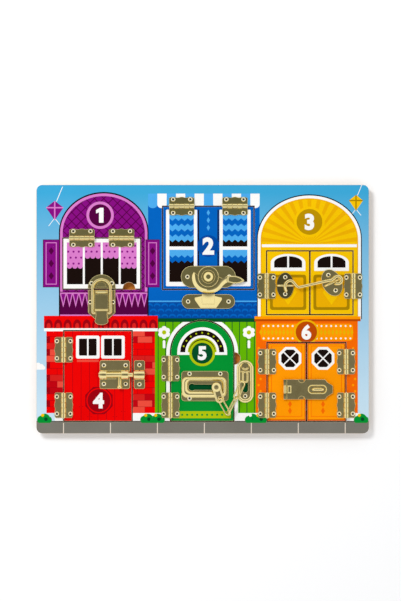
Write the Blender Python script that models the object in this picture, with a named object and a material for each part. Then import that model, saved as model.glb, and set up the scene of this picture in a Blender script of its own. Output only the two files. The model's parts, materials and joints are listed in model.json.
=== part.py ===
"""Latch board: a wooden toy board with six doors and windows, each held shut by another catch.

It lies on its back. X runs to the right, Y up the picture and Z out of the face, with the
origin under the middle of the back. All sizes are in metres.
"""

import math

import bmesh
import bpy
from mathutils import Matrix, Vector

# Fits
FIT = 0.0003
OVERRUN = 0.002
SINK = 0.0002

# Board
FRONT_THICKNESS = 0.0087
BACK_THICKNESS = 0.003
BOARD_CORNER = 0.007
LEAF_GAP = 0.0013
MEETING_GAP = 0.0018

# Bottom row of doors, from left to right
LEFT_MARGIN = 0.0335
DOOR_4_WIDTH = 0.081
PIER_4_5 = 0.0474
DOOR_5_WIDTH = 0.0751
PIER_5_6 = 0.0411
DOORS_6_WIDTH = 0.0937
RIGHT_MARGIN = 0.0282

# Top row, from left to right
TOP_LEFT_MARGIN = 0.0324
WINDOW_1_WIDTH = 0.0924
PIER_1_2 = 0.0276
WINDOW_2_WIDTH = 0.1088
PIER_2_3 = 0.0164
DOORS_3_WIDTH = 0.1027
TOP_RIGHT_MARGIN = 0.0196

# Three columns, from the bottom up
BOTTOM_MARGIN = 0.0152
DOOR_4_HEIGHT = 0.1078
WALL_4_1 = 0.0512
WINDOW_1_HEIGHT = 0.0602
ROOF_1 = 0.0646
DOOR_5_HEIGHT = 0.12
WALL_5_2 = 0.0387
WINDOW_2_HEIGHT = 0.0988
ROOF_2 = 0.0263
DOORS_6_HEIGHT = 0.0935
WALL_6_3 = 0.0348
DOORS_3_HEIGHT = 0.0755
ROOF_3 = 0.08

# Notches for a fingertip, at the edge of a leaf
NOTCH_RADIUS = 0.0073
WINDOW_NOTCH_INSET = 0.0135
DOOR_NOTCH_RISE = 0.075

# Butt hinges
HINGE_LENGTH = 0.0305
HINGE_LEAF = 0.0112
HINGE_WAVE = 0.0015
HINGE_THICKNESS = 0.0008
BARREL_RADIUS = 0.0026
HINGE_PIN_RADIUS = 0.0011
PIN_STANDOUT = 0.0005
HINGE_SCREW_ALONG = 0.0103
HINGE_SCREW_ACROSS = 0.0081
KNUCKLES = 5
WINDOW_HINGE_INSET = 0.0224
DOOR_3_HINGE_DROP = 0.004
DOOR_HINGE_RISE = 0.0188
DOOR_HINGE_DROP = 0.0223
DOOR_5_HINGE_RISE = 0.063

# Screws
SCREW_RADIUS = 0.0026
SCREW_HEIGHT = 0.0008
SCREW_TOP_SHARE = 0.62

# Catch 1, a draw latch
PLATE = 0.001
DRAW_KEEPER_RADIUS = 0.0168
DRAW_BOSS_RADIUS = 0.0056
DRAW_BOSS_HEIGHT = 0.0055
DRAW_BOSS_RISE = 0.0022
DRAW_KEEPER_SCREW = (0.0123, 0.0064)
DRAW_BASE_SETBACK = 0.0017
DRAW_BASE_WIDTH = 0.0329
DRAW_BASE_LENGTH = 0.0347
DRAW_BASE_TAPER = 0.0075
DRAW_BASE_TIP = 0.0168
DRAW_BASE_SCREW = (0.0139, 0.0145)
DRAW_PIN_RADIUS = 0.0009
DRAW_PIN_SETBACK = 0.0022
DRAW_PIN_RISE = 0.0027
DRAW_CURL_RADIUS = 0.002
DRAW_CURL_LENGTH = 0.011
DRAW_EAR = 0.0014
DRAW_LEVER_THICKNESS = 0.0012
DRAW_PANEL_WIDTH = 0.0162
DRAW_PANEL_START = 0.0034
DRAW_PANEL_LENGTH = 0.0184
DRAW_RIDGE_RADIUS = 0.0012
DRAW_TONGUE_LENGTH = 0.0398
DRAW_TONGUE_WAIST = 0.0122
DRAW_TONGUE_END = 0.0164
DRAW_WAIST_SHARE = 0.33
DRAW_FLARE_SHARE = 0.75
DRAW_LOOP_WIRE = 0.0017
DRAW_LOOP_HALF = 0.0108
DRAW_LOOP_LENGTH = 0.0404
DRAW_LOOP_SETBACK = 0.0254
DRAW_LOOP_FOOT = 0.0036
DRAW_LOOP_LIFT = 0.0005
DRAW_LOOP_TILT = math.radians(4.2)

# Catch 2, a sash lock
SASH_PLATE = 0.0012
SASH_PLATE_LENGTH = 0.066
SASH_PLATE_WIDTH = 0.0262
SASH_PLATE_RISE = 0.0145
SASH_SCREW = 0.0251
SASH_POST_RADIUS = 0.003
SASH_RIVET_RADIUS = 0.0057
SASH_RIVET_HEIGHT = 0.0014
SASH_CAM_THICKNESS = 0.002
SASH_HUB_RADIUS = 0.0125
SASH_HUB_HEIGHT = 0.0026
SASH_STEP_RADIUS = 0.009
SASH_STEP_HEIGHT = 0.0008
SASH_CAM_REACH = 0.02
SASH_CAM_GROWTH_SHARES = (
    (180, 0.94),
    (202, 0.95),
    (225, 0.97),
    (247, 0.985),
    (270, 1.0),
    (290, 1.0),
    (306, 1.07),
    (330, 1.1),
    (352, 1.11),
)
SASH_TAB_REACH = 0.0435
SASH_TAB_WIDTH = 0.0092
SASH_TAB_THICKNESS = 0.0016
SASH_TAB_ROOT_SHARE = 0.7
SASH_TAB_TURN = math.radians(-6.3)
SASH_KEEPER_LENGTH = 0.064
SASH_KEEPER_WIDTH = 0.0174
SASH_KEEPER_DROP = 0.0152
SASH_KEEPER_SCREW = 0.0243
SASH_NOSE_WIDTH = 0.0156
SASH_NOSE_HEIGHT = 0.0024
SASH_NOSE_GAP = 0.0005
SASH_NOSE_SETBACK = 0.0026
SASH_NOSE_LENGTH = 0.0125
SASH_SHOULDER_WIDTH = 0.0316
SASH_SHOULDER_HEIGHT = 0.0012

# Catch 3, a hook and eye
EYE_LENGTH = 0.0314
EYE_WIDTH = 0.0207
EYE_SCREW = 0.0101
STAPLE_HALF = 0.0092
STAPLE_RISE = 0.0022
STAPLE_WIRE = 0.0012
LEFT_EYE_GAP = 0.0008
LEFT_EYE_RISE = 0.0343
RIGHT_EYE_LENGTH = 0.0336
RIGHT_EYE_WIDTH = 0.0236
RIGHT_EYE_SETBACK = 0.0248
RIGHT_EYE_RISE = 0.0378
RIGHT_EYE_TURN = math.radians(25.5)
HOOK_WIRE = 0.0018
HOOK_RING_RADIUS = 0.0046
HOOK_RING_ALONG = 0.0073
HOOK_NECK_SHARES = ((1.75, 0.3), (2.4, 0.39))
HOOK_BEND = 0.0155
HOOK_PAST_SHARE = 0.058
HOOK_CREST_SHARE = 0.475
HOOK_BEND_SHARES = (
    (1.187, 0.117, 0.0),
    (1.0, 0.137, 0.0),
    (0.866, 0.282, 0.0),
    (0.757, 0.507, 0.0),
    (0.652, 0.676, 0.0),
    (0.499, 0.765, 0.0),
    (0.322, 0.753, 0.0),
    (0.141, 0.656, 0.0),
    (0.032, 0.491, 0.0),
    (0.0, 0.342, 0.0),
    (0.0, 0.181, 0.08),
    (0.028, 0.04, 0.16),
)

# Catch 4, a barrel bolt
BOLT_CASE_LENGTH = 0.0362
BOLT_CASE_WIDTH = 0.0344
BOLT_CASE_SETBACK = 0.0021
BOLT_DROP = 0.0522
BOLT_SCREW = (0.0131, 0.0111)
BOLT_HOOP_OUTER = 0.0057
BOLT_HOOP_LENGTH = 0.0086
BOLT_HOOP_PLACES = (-0.0138, 0.0124)
BOLT_RADIUS = 0.003
BOLT_TAIL = 0.0195
BOLT_TIP_GAP = 0.0006
BOLT_HANDLE_PLACE = 0.006
BOLT_HANDLE_RADIUS = 0.0017
BOLT_HANDLE_LENGTH = 0.0168
BOLT_KNOB_RADIUS = 0.0029
BOLT_KNOB_LENGTH = 0.004
BOLT_KEEPER_SETBACK = 0.003
BOLT_KEEPER_LENGTH = 0.0129
BOLT_KEEPER_WIDTH = 0.0343
BOLT_KEEPER_SCREW = 0.0115

# Catch 5, a chain guard
TRACK_LENGTH = 0.0566
TRACK_WIDTH = 0.0362
TRACK_CORNER = 0.004
TRACK_SETBACK = 0.006
TRACK_RISE = 0.0418
TRACK_SCREW = (0.0185, 0.0148)
TRACK_RIDGE_LENGTH = 0.0543
TRACK_RIDGE_WIDTH = 0.025
TRACK_RIDGE_HEIGHT = 0.0022
TRACK_RIDGE_SHIFT = (-0.0011, -0.0015)
TRACK_MOUTH_LENGTH = 0.0404
TRACK_MOUTH_WIDTH = 0.0119
TRACK_SKIN = 0.0008
TRACK_SKIN_RISE = 0.0006
SLOT_WIDTH = 0.0058
SLOT_DROP = 0.0012
SLOT_END = 0.0182
KEYHOLE_RADIUS = 0.0041
KEYHOLE_PLACE = 0.0154
SLIDER_FLANGE = 0.0036
SLIDER_FLANGE_HEIGHT = 0.0008
SLIDER_NECK = 0.0023
SLIDER_PLACE = 0.0137
SLIDER_WASHER = 0.0042
SLIDER_WASHER_HEIGHT = 0.0011
SLIDER_KNOB = 0.0056
SLIDER_KNOB_HEIGHT = 0.002
TAG_THICKNESS = 0.0012
TAG_LENGTH = 0.0145
TAG_RADIUS = 0.0047
TAG_HOLE = 0.0029
TAG_TURN = math.radians(-73.7)
LINK_PITCH = 0.022
LINK_WIDTH = 0.0086
LINK_WIRE = 0.001
LINK_SLACK = 0.0026
LINK_TURNS = tuple(math.radians(turn) for turn in (-59.8, 62.0, 66.0))
LINK_TILTS = tuple(math.radians(tilt) for tilt in (36.0, -71.0, 20.0))
LINK_LIFTS = (0.0019, -0.0007, 0.0)
ANCHOR_LENGTH = 0.0511
ANCHOR_WIDTH = 0.0203
ANCHOR_SETBACK = 0.0141
ANCHOR_RISE = 0.0473
ANCHOR_RIM = 0.0046
ANCHOR_RIM_HEIGHT = 0.0008
ANCHOR_SCREW = 0.0175
ANCHOR_BAR_RISE = 0.0118
ANCHOR_RING_LENGTH = 0.0146
ANCHOR_RING_WIDTH = 0.0066
ANCHOR_RING_WIRE = 0.0008
ANCHOR_WINDOW = 0.018

# Catch 6, a hasp
HASP_PLACE = 0.0208
HASP_RISE = 0.0379
HASP_WIDTH = 0.0241
HASP_LENGTH = 0.0576
HASP_THICKNESS = 0.0012
HASP_BARREL = 0.0022
HASP_PIN = 0.001
HASP_KNUCKLE = 0.0088
HASP_LEAF = 0.0226
HASP_SLOT = (0.0291, 0.0487)
HASP_SLOT_WIDTH = 0.0078
HASP_NOTCH = 0.0039
HASP_NOTCH_PLACE = 0.0201
HASP_NOSE_SHARES = ((0.835, 1.0), (0.885, 0.71), (0.985, 0.41), (1.0, 0.36))
HASP_STAPLE_PLACE = 0.0395
HASP_STAPLE_LENGTH = 0.015
HASP_STAPLE_WIRE = 0.0017
HASP_STAPLE_RISE = 0.0057
HASP_FOOT = (0.026, 0.0104)

# Facets
LEAST_SIDES = 8
FEW_SIDES = 10
FINE_SIDES = 12
SIDES = 16
MANY_SIDES = 24
TUBE_RINGS = 2

# Heights
FACE = BACK_THICKNESS + FIT + FRONT_THICKNESS
SEAT = FACE + FIT
PLATE_TOP = SEAT + PLATE
HINGE_AXIS = SEAT + BARREL_RADIUS
TAG_LOW = PLATE + TRACK_RIDGE_HEIGHT + FIT + SLIDER_WASHER_HEIGHT

# Colours, roughness and metallic value of each material
LOOKS = {
    "sky_paint": ((0.13, 0.43, 0.68), 0.5, 0.0),
    "raw_wood": ((0.62, 0.45, 0.27), 0.6, 0.0),
    "purple_paint": ((0.28, 0.02, 0.3), 0.5, 0.0),
    "blue_paint": ((0.02, 0.16, 0.6), 0.5, 0.0),
    "yellow_paint": ((0.9, 0.6, 0.02), 0.5, 0.0),
    "red_paint": ((0.7, 0.01, 0.01), 0.5, 0.0),
    "green_paint": ((0.0, 0.26, 0.05), 0.5, 0.0),
    "orange_paint": ((0.95, 0.36, 0.01), 0.5, 0.0),
    "brass": ((0.83, 0.64, 0.3), 0.28, 1.0),
}


class Leaf:
    """One wooden leaf: its rectangle on the board, and the side that its hinges are on."""

    def __init__(self, name, left, bottom, width, height, side, paint, arched=False):
        self.name = name
        self.left = left - BOARD_WIDTH / 2
        self.bottom = bottom - BOARD_HEIGHT / 2
        self.width = width
        self.height = height
        self.right = self.left + width
        self.top = self.bottom + height
        self.side = side
        self.paint = paint
        self.arched = arched

    def axis(self, along=0.0):
        """The hinge axis, at a distance along it from the leaf's left or bottom end."""
        if self.side == "top":
            return Vector((self.left + along, self.top + LEAF_GAP / 2, HINGE_AXIS))
        if self.side == "left":
            return Vector((self.left - LEAF_GAP / 2, self.bottom + along, HINGE_AXIS))
        return Vector((self.right + LEAF_GAP / 2, self.bottom + along, HINGE_AXIS))

    def outline(self, grow=0.0):
        """The leaf's outline, or its opening's, which is larger by grow on every side."""
        left, right = self.left - grow, self.right + grow
        low, high = self.bottom - grow, self.top + grow
        if not self.arched:
            return [(left, low), (right, low), (right, high), (left, high)]
        radius = self.width / 2 + grow
        spring = self.top - self.width / 2
        middle = self.left + self.width / 2
        return [(left, low), (right, low)] + arc((middle, spring), radius, 0, 180, MANY_SIDES)


bottom_row = (
    LEFT_MARGIN
    + DOOR_4_WIDTH
    + PIER_4_5
    + DOOR_5_WIDTH
    + PIER_5_6
    + DOORS_6_WIDTH
    + RIGHT_MARGIN
)
top_row = (
    TOP_LEFT_MARGIN
    + WINDOW_1_WIDTH
    + PIER_1_2
    + WINDOW_2_WIDTH
    + PIER_2_3
    + DOORS_3_WIDTH
    + TOP_RIGHT_MARGIN
)
BOARD_WIDTH = max(bottom_row, top_row)
BOARD_HEIGHT = BOTTOM_MARGIN + max(
    DOOR_4_HEIGHT + WALL_4_1 + WINDOW_1_HEIGHT + ROOF_1,
    DOOR_5_HEIGHT + WALL_5_2 + WINDOW_2_HEIGHT + ROOF_2,
    DOORS_6_HEIGHT + WALL_6_3 + DOORS_3_HEIGHT + ROOF_3,
)


def arc(centre, radius, start, end, steps):
    """Points on an arc, with its angles in degrees."""
    points = []
    for step in range(steps + 1):
        angle = math.radians(start + (end - start) * step / steps)
        points.append(
            (centre[0] + radius * math.cos(angle), centre[1] + radius * math.sin(angle))
        )
    return points


def obround(length, width, steps=FEW_SIDES, centre=(0, 0)):
    """A slot shape along X."""
    reach = (length - width) / 2
    right = arc((centre[0] + reach, centre[1]), width / 2, -90, 90, steps)
    left = arc((centre[0] - reach, centre[1]), width / 2, 90, 270, steps)
    return right + left


def rounded(length, width, radius, centre=(0, 0), steps=4):
    """A rectangle with round corners."""
    points = []
    for along, across, start in ((1, -1, -90), (1, 1, 0), (-1, 1, 90), (-1, -1, 180)):
        corner = (
            centre[0] + along * (length / 2 - radius),
            centre[1] + across * (width / 2 - radius),
        )
        points += arc(corner, radius, start, start + 90, steps)
    return points


def rectangle(left, right, low, high):
    return [(left, low), (right, low), (right, high), (left, high)]


def clear_scene():
    for old in list(bpy.data.objects):
        bpy.data.objects.remove(old, do_unlink=True)


def make_material(name, look):
    colour, roughness, metallic = LOOKS[look]
    material = bpy.data.materials.new(name)
    material.use_nodes = True
    shader = material.node_tree.nodes["Principled BSDF"]
    shader.inputs["Base Color"].default_value = (*colour, 1)
    shader.inputs["Roughness"].default_value = roughness
    shader.inputs["Metallic"].default_value = metallic
    material.diffuse_color = (*colour, 1)
    return material


def new_object(name, data):
    made = bpy.data.objects.new(name, data)
    collection.objects.link(made)
    return made


def solid_from(guide):
    """Turns a curve into a closed mesh object in the same place."""
    bpy.context.view_layer.update()
    graph = bpy.context.evaluated_depsgraph_get()
    mesh = bpy.data.meshes.new_from_object(guide.evaluated_get(graph))
    shape = bmesh.new()
    shape.from_mesh(mesh)
    bmesh.ops.remove_doubles(shape, verts=shape.verts, dist=WELD)
    bmesh.ops.recalc_face_normals(shape, faces=shape.faces)
    shape.to_mesh(mesh)
    shape.free()
    made = new_object(guide.name + "_solid", mesh)
    made.matrix_world = guide.matrix_world
    curve = guide.data
    bpy.data.objects.remove(guide)
    bpy.data.curves.remove(curve)
    return made


def prism(outlines, low, high):
    """A flat outline, and any holes in it, made solid between two heights."""
    curve = bpy.data.curves.new("outline", "CURVE")
    curve.dimensions = "2D"
    curve.fill_mode = "BOTH"
    curve.extrude = (high - low) / 2
    for points in outlines:
        spline = curve.splines.new("POLY")
        spline.points.add(len(points) - 1)
        for point, place in zip(spline.points, points):
            point.co = (place[0], place[1], 0, 1)
        spline.use_cyclic_u = True
    made = solid_from(new_object("outline", curve))
    made.data.transform(Matrix.Translation((0, 0, (low + high) / 2)))
    return made


def wire(points, radius, closed=False):
    """A round wire along a list of points."""
    curve = bpy.data.curves.new("wire", "CURVE")
    curve.dimensions = "3D"
    curve.bevel_depth = radius
    curve.bevel_resolution = TUBE_RINGS
    curve.use_fill_caps = not closed
    spline = curve.splines.new("POLY")
    spline.points.add(len(points) - 1)
    for point, place in zip(spline.points, points):
        point.co = (*place, 1)
    spline.use_cyclic_u = closed
    return solid_from(new_object("wire", curve))


def block(low, high):
    """A box between two opposite corners."""
    shape = bmesh.new()
    bmesh.ops.create_cube(shape, size=1)
    size = [b - a for a, b in zip(low, high)]
    middle = [(a + b) / 2 for a, b in zip(low, high)]
    bmesh.ops.scale(shape, vec=size, verts=shape.verts)
    bmesh.ops.translate(shape, vec=middle, verts=shape.verts)
    mesh = bpy.data.meshes.new("block")
    shape.to_mesh(mesh)
    shape.free()
    return new_object("block", mesh)


def cone(start, end, radius, top=None, sides=SIDES):
    """A cylinder, or with another radius at its end a cone, between two points."""
    start, end = Vector(start), Vector(end)
    run = end - start
    turn = Vector((0, 0, 1)).rotation_difference(run).to_matrix().to_4x4()
    shape = bmesh.new()
    bmesh.ops.create_cone(
        shape,
        cap_ends=True,
        segments=sides,
        radius1=radius,
        radius2=radius if top is None else top,
        depth=run.length,
        matrix=Matrix.Translation((start + end) / 2) @ turn,
    )
    mesh = bpy.data.meshes.new("cone")
    shape.to_mesh(mesh)
    shape.free()
    return new_object("cone", mesh)


def screw(x, y, low):
    """A round screw head whose underside lies on a plate's top."""
    return cone(
        (x, y, low - SINK),
        (x, y, low + SCREW_HEIGHT),
        SCREW_RADIUS,
        SCREW_RADIUS * SCREW_TOP_SHARE,
        LEAST_SIDES,
    )


def combine(base, adds=(), cuts=()):
    """Joins solids to a solid, and then cuts others from it."""
    tools = [(tool, "UNION") for tool in adds] + [(tool, "DIFFERENCE") for tool in cuts]
    for tool, operation in tools:
        modifier = base.modifiers.new(operation, "BOOLEAN")
        modifier.operation = operation
        modifier.object = tool
    bpy.context.view_layer.update()
    graph = bpy.context.evaluated_depsgraph_get()
    mesh = bpy.data.meshes.new_from_object(base.evaluated_get(graph))
    base.modifiers.clear()
    base.data = mesh
    for tool, _ in tools:
        bpy.data.objects.remove(tool)
    return base


def hang(made, parent):
    """Parents an object, and leaves it where it stands."""
    if parent:
        bpy.context.view_layer.update()
        made.parent = parent
        made.matrix_parent_inverse = parent.matrix_world.inverted()
    return made


def pivot(name, at, parent=None):
    """An empty on a joint's axis."""
    made = new_object(name + "_pivot", None)
    made.location = at
    pivots[name] = hang(made, parent)


def dress(made, name, look):
    """Gives a piece its own material, and smooth shading between its sharp edges."""
    made.data.name = name
    made.data.materials.clear()
    made.data.materials.append(make_material(name, look))
    made.data.shade_smooth()
    made.data.set_sharp_from_angle(angle=SHARP)


def finish(made, name, look, at, parent=None, turn=0.0):
    """Names a piece, gives it its material and places it."""
    made.name = name
    made.location = at
    made.rotation_euler.z = turn
    dress(made, name, look)
    return hang(made, parent)


def leaf_pair(name, left, bottom, width, height, paint):
    """Two leaves that meet in the middle of one opening."""
    half = (width - MEETING_GAP) / 2
    first = Leaf(name + "_left", left, bottom, half, height, "left", paint)
    second = Leaf(name + "_right", left + half + MEETING_GAP, bottom, half, height, "right", paint)
    return first, second


def make_leaves():
    """Every leaf, in the places that the rows and columns give."""
    left_5 = LEFT_MARGIN + DOOR_4_WIDTH + PIER_4_5
    left_6 = left_5 + DOOR_5_WIDTH + PIER_5_6
    left_2 = TOP_LEFT_MARGIN + WINDOW_1_WIDTH + PIER_1_2
    left_3 = left_2 + WINDOW_2_WIDTH + PIER_2_3
    low_1 = BOTTOM_MARGIN + DOOR_4_HEIGHT + WALL_4_1
    low_2 = BOTTOM_MARGIN + DOOR_5_HEIGHT + WALL_5_2
    low_3 = BOTTOM_MARGIN + DOORS_6_HEIGHT + WALL_6_3
    return [
        Leaf("window_1", TOP_LEFT_MARGIN, low_1, WINDOW_1_WIDTH, WINDOW_1_HEIGHT, "top", "purple_paint"),
        Leaf("window_2", left_2, low_2, WINDOW_2_WIDTH, WINDOW_2_HEIGHT, "top", "blue_paint"),
        *leaf_pair("door_3", left_3, low_3, DOORS_3_WIDTH, DOORS_3_HEIGHT, "yellow_paint"),
        Leaf("door_4", LEFT_MARGIN, BOTTOM_MARGIN, DOOR_4_WIDTH, DOOR_4_HEIGHT, "left", "red_paint"),
        Leaf("door_5", left_5, BOTTOM_MARGIN, DOOR_5_WIDTH, DOOR_5_HEIGHT, "left", "green_paint", True),
        *leaf_pair("door_6", left_6, BOTTOM_MARGIN, DOORS_6_WIDTH, DOORS_6_HEIGHT, "orange_paint"),
    ]


def make_board():
    """The back panel, and the front board with an opening for each window, door or pair."""
    outline = rounded(BOARD_WIDTH, BOARD_HEIGHT, BOARD_CORNER)
    finish(prism([outline], 0, BACK_THICKNESS), "back_panel", "raw_wood", (0, 0, 0))
    openings = []
    for leaf in leaves.values():
        if leaf.name.endswith("_right"):
            continue
        if leaf.name.endswith("_left"):
            other = leaves[leaf.name.replace("_left", "_right")]
            openings.append(
                rectangle(
                    leaf.left - LEAF_GAP,
                    other.right + LEAF_GAP,
                    leaf.bottom - LEAF_GAP,
                    leaf.top + LEAF_GAP,
                )
            )
        else:
            openings.append(leaf.outline(LEAF_GAP))
    front = prism([outline, *openings], BACK_THICKNESS + FIT, FACE)
    door = leaves["door_5"]
    cutter = finger_notch(door.right + LEAF_GAP - SINK, door.bottom + DOOR_NOTCH_RISE)
    finish(combine(front, cuts=[cutter]), "front_board", "sky_paint", (0, 0, 0))


def finger_notch(x, y):
    """A round cutter that goes through the front board or a leaf."""
    low, high = BACK_THICKNESS, FACE + OVERRUN
    return cone((x, y, low), (x, y, high), NOTCH_RADIUS, sides=MANY_SIDES)


def make_wooden_leaves():
    """The panels of the windows and doors, each on the pivot at its hinge axis."""
    for leaf in leaves.values():
        run = leaf.width if leaf.side == "top" else leaf.height
        at = leaf.axis(run / 2)
        pivot(leaf.name, at)
        panel = prism([leaf.outline()], BACK_THICKNESS + FIT, FACE)
        if leaf.name == "window_1":
            cutter = finger_notch(leaf.right - WINDOW_NOTCH_INSET, leaf.bottom + SINK)
            combine(panel, cuts=[cutter])
        panel.data.transform(Matrix.Translation(-at))
        finish(panel, leaf.name, leaf.paint, at, pivots[leaf.name])


def hinge_plate(side):
    """A leaf plate of a hinge, with its barrel along Y, on the side -1 or 1 of X."""
    start = BARREL_RADIUS + FIT
    edge = []
    for step in range(SIDES + 1):
        along = HINGE_LENGTH * (step / SIDES - 1 / 2)
        wave = HINGE_WAVE * (1 - math.cos(2 * math.pi * along / HINGE_SCREW_ALONG)) / 2
        edge.append((side * (HINGE_LEAF - wave), along))
    outline = [(side * start, -HINGE_LENGTH / 2), *edge, (side * start, HINGE_LENGTH / 2)]
    low = -BARREL_RADIUS
    plate = prism([outline], low, low + HINGE_THICKNESS)
    heads = [
        screw(side * HINGE_SCREW_ACROSS, along, low + HINGE_THICKNESS)
        for along in (-HINGE_SCREW_ALONG, HINGE_SCREW_ALONG)
    ]
    return plate, heads


def knuckle(number, side):
    """One knuckle of a barrel and the tab that joins it to its plate."""
    pitch = (HINGE_LENGTH + FIT) / KNUCKLES
    low = -HINGE_LENGTH / 2 + number * pitch
    high = low + pitch - FIT
    tab = block(
        (min(0, side * (BARREL_RADIUS + 2 * FIT)), low, -BARREL_RADIUS),
        (max(0, side * (BARREL_RADIUS + 2 * FIT)), high, -BARREL_RADIUS + HINGE_THICKNESS),
    )
    return [tab, cone((0, low, 0), (0, high, 0), BARREL_RADIUS, sides=FINE_SIDES)]


def make_hinge_meshes():
    """The board leaf, with the pin fast in it, and the leaf that turns on the pin."""
    plate, heads = hinge_plate(-1)
    fixed = [part for number in range(0, KNUCKLES, 2) for part in knuckle(number, -1)]
    reach = HINGE_LENGTH / 2 + PIN_STANDOUT
    pin = cone((0, -reach, 0), (0, reach, 0), HINGE_PIN_RADIUS, sides=LEAST_SIDES)
    board_leaf = combine(plate, heads + fixed + [pin])
    plate, heads = hinge_plate(1)
    moving = [part for number in range(1, KNUCKLES, 2) for part in knuckle(number, 1)]
    bore = cone((0, -reach, 0), (0, reach, 0), HINGE_PIN_RADIUS + FIT, sides=LEAST_SIDES)
    return board_leaf, combine(plate, heads + moving, [bore])


def door_hinge_places(leaf):
    """Where a door's hinges are, as distances up from its foot."""
    number = leaf.name.split("_")[1]
    if number == "3":
        return (leaf.height / 2 - DOOR_3_HINGE_DROP,)
    if leaf.arched:
        return (DOOR_HINGE_RISE, DOOR_5_HINGE_RISE)
    return (DOOR_HINGE_RISE, leaf.height - DOOR_HINGE_DROP)


def make_hinges():
    """Fourteen hinges, named from their window or door. Each kind of leaf is one mesh."""
    board_leaf, door_leaf = make_hinge_meshes()
    dress(board_leaf, "hinge_board_leaf", "brass")
    dress(door_leaf, "hinge_door_leaf", "brass")
    turns = {"left": 0.0, "right": math.pi, "top": -math.pi / 2}
    for leaf in leaves.values():
        if leaf.side == "top":
            places = (WINDOW_HINGE_INSET, leaf.width - WINDOW_HINGE_INSET)
        else:
            places = door_hinge_places(leaf)
        letters = ("_a", "_b") if len(places) > 1 else ("",)
        for letter, along in zip(letters, places):
            name = f"hinge_{leaf.name.split('_', 1)[1]}{letter}"
            for kind, template in (("board_leaf", board_leaf), ("door_leaf", door_leaf)):
                copy = new_object(f"{name}_{kind}", template.data)
                copy.location = leaf.axis(along)
                copy.rotation_euler.z = turns[leaf.side]
                if kind == "door_leaf":
                    hang(copy, pivots[leaf.name])
    bpy.data.objects.remove(board_leaf)
    bpy.data.objects.remove(door_leaf)


def make_draw_latch():
    """Catch 1: a loop on the board catches a boss on the window, and a lever pulls it tight."""
    window = leaves["window_1"]
    middle = (window.left + window.right) / 2
    edge = window.bottom
    half_disc = arc((0, FIT), DRAW_KEEPER_RADIUS, 0, 180, MANY_SIDES)
    keeper = prism([half_disc], 0, PLATE)
    boss_disc = arc((0, DRAW_BOSS_RISE), DRAW_BOSS_RADIUS, 0, 180, SIDES)
    boss = prism([boss_disc], PLATE - SINK, DRAW_BOSS_HEIGHT)
    across, rise = DRAW_KEEPER_SCREW
    heads = [screw(side * across, rise, PLATE) for side in (-1, 1)]
    combine(keeper, [boss, *heads])
    finish(keeper, "draw_keeper", "brass", (middle, edge, SEAT), pivots["window_1"])

    top = edge - DRAW_BASE_SETBACK
    half, tip = DRAW_BASE_WIDTH / 2, DRAW_BASE_TIP / 2
    outline = [
        (-half, 0),
        (-half, DRAW_BASE_TAPER - DRAW_BASE_LENGTH),
        (-tip, -DRAW_BASE_LENGTH),
        (tip, -DRAW_BASE_LENGTH),
        (half, DRAW_BASE_TAPER - DRAW_BASE_LENGTH),
        (half, 0),
    ]
    base = prism([outline[::-1]], 0, PLATE)
    across, drop = DRAW_BASE_SCREW
    adds = [screw(side * across, -drop, PLATE) for side in (-1, 1)]
    pin_y, pin_z = -DRAW_PIN_SETBACK, PLATE + DRAW_PIN_RISE
    inner = DRAW_CURL_LENGTH / 2 + FIT
    for side in (-1, 1):
        near, far = side * inner, side * (inner + DRAW_EAR)
        adds.append(
            block(
                (min(near, far), pin_y - DRAW_PIN_SETBACK, PLATE - SINK),
                (max(near, far), pin_y + DRAW_PIN_SETBACK, pin_z),
            )
        )
        adds.append(cone((near, pin_y, pin_z), (far, pin_y, pin_z), DRAW_PIN_SETBACK))
    reach = inner + DRAW_EAR / 2
    adds.append(
        cone((-reach, pin_y, pin_z), (reach, pin_y, pin_z), DRAW_PIN_RADIUS, sides=FEW_SIDES)
    )
    finish(combine(base, adds), "draw_base", "brass", (middle, top, SEAT))

    at = Vector((middle, top + pin_y, SEAT + pin_z))
    pivot("draw_lever", at)
    finish(make_draw_lever(), "draw_lever", "brass", at, pivots["draw_lever"])
    rise = DRAW_LOOP_LIFT + DRAW_LOOP_WIRE
    at = Vector((middle, top + pin_y - DRAW_LOOP_SETBACK, PLATE_TOP + rise))
    pivot("draw_loop", at)
    finish(make_draw_loop(), "draw_loop", "brass", at, pivots["draw_loop"])


def make_draw_lever():
    """A curl on the pin, a panel, and a tongue that flares to the fingertip."""
    half = DRAW_LEVER_THICKNESS / 2
    neck = rectangle(-DRAW_CURL_LENGTH / 2, DRAW_CURL_LENGTH / 2, -DRAW_PANEL_START - SINK, 0)
    wide = DRAW_PANEL_WIDTH / 2
    end = -DRAW_PANEL_START - DRAW_PANEL_LENGTH
    panel = rectangle(-wide, wide, end, -DRAW_PANEL_START)
    waist, flare = DRAW_TONGUE_WAIST / 2, DRAW_TONGUE_END / 2
    finger = -DRAW_TONGUE_LENGTH
    waist_y = end + (finger - end) * DRAW_WAIST_SHARE
    flare_y = end + (finger - end) * DRAW_FLARE_SHARE
    round_end = [(flare * math.cos(a), flare_y + (flare_y - finger) * math.sin(a)) for a in HALF_TURN]
    tongue = [
        (waist, end + SINK),
        (-waist, end + SINK),
        (-waist, waist_y),
        *round_end,
        (waist, waist_y),
    ]
    ridge = cone(
        (-wide, end, half),
        (wide, end, half),
        DRAW_RIDGE_RADIUS,
        sides=FEW_SIDES,
    )
    reach = DRAW_CURL_LENGTH / 2
    curl = cone((-reach, 0, 0), (reach, 0, 0), DRAW_CURL_RADIUS)
    bore = cone(
        (-reach - OVERRUN, 0, 0),
        (reach + OVERRUN, 0, 0),
        DRAW_PIN_RADIUS + FIT,
        sides=FEW_SIDES,
    )
    lever = prism([panel], -half, half)
    adds = [prism([neck], -half, half), prism([tongue], -half, half), ridge, curl]
    return combine(lever, adds, [bore])


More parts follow.
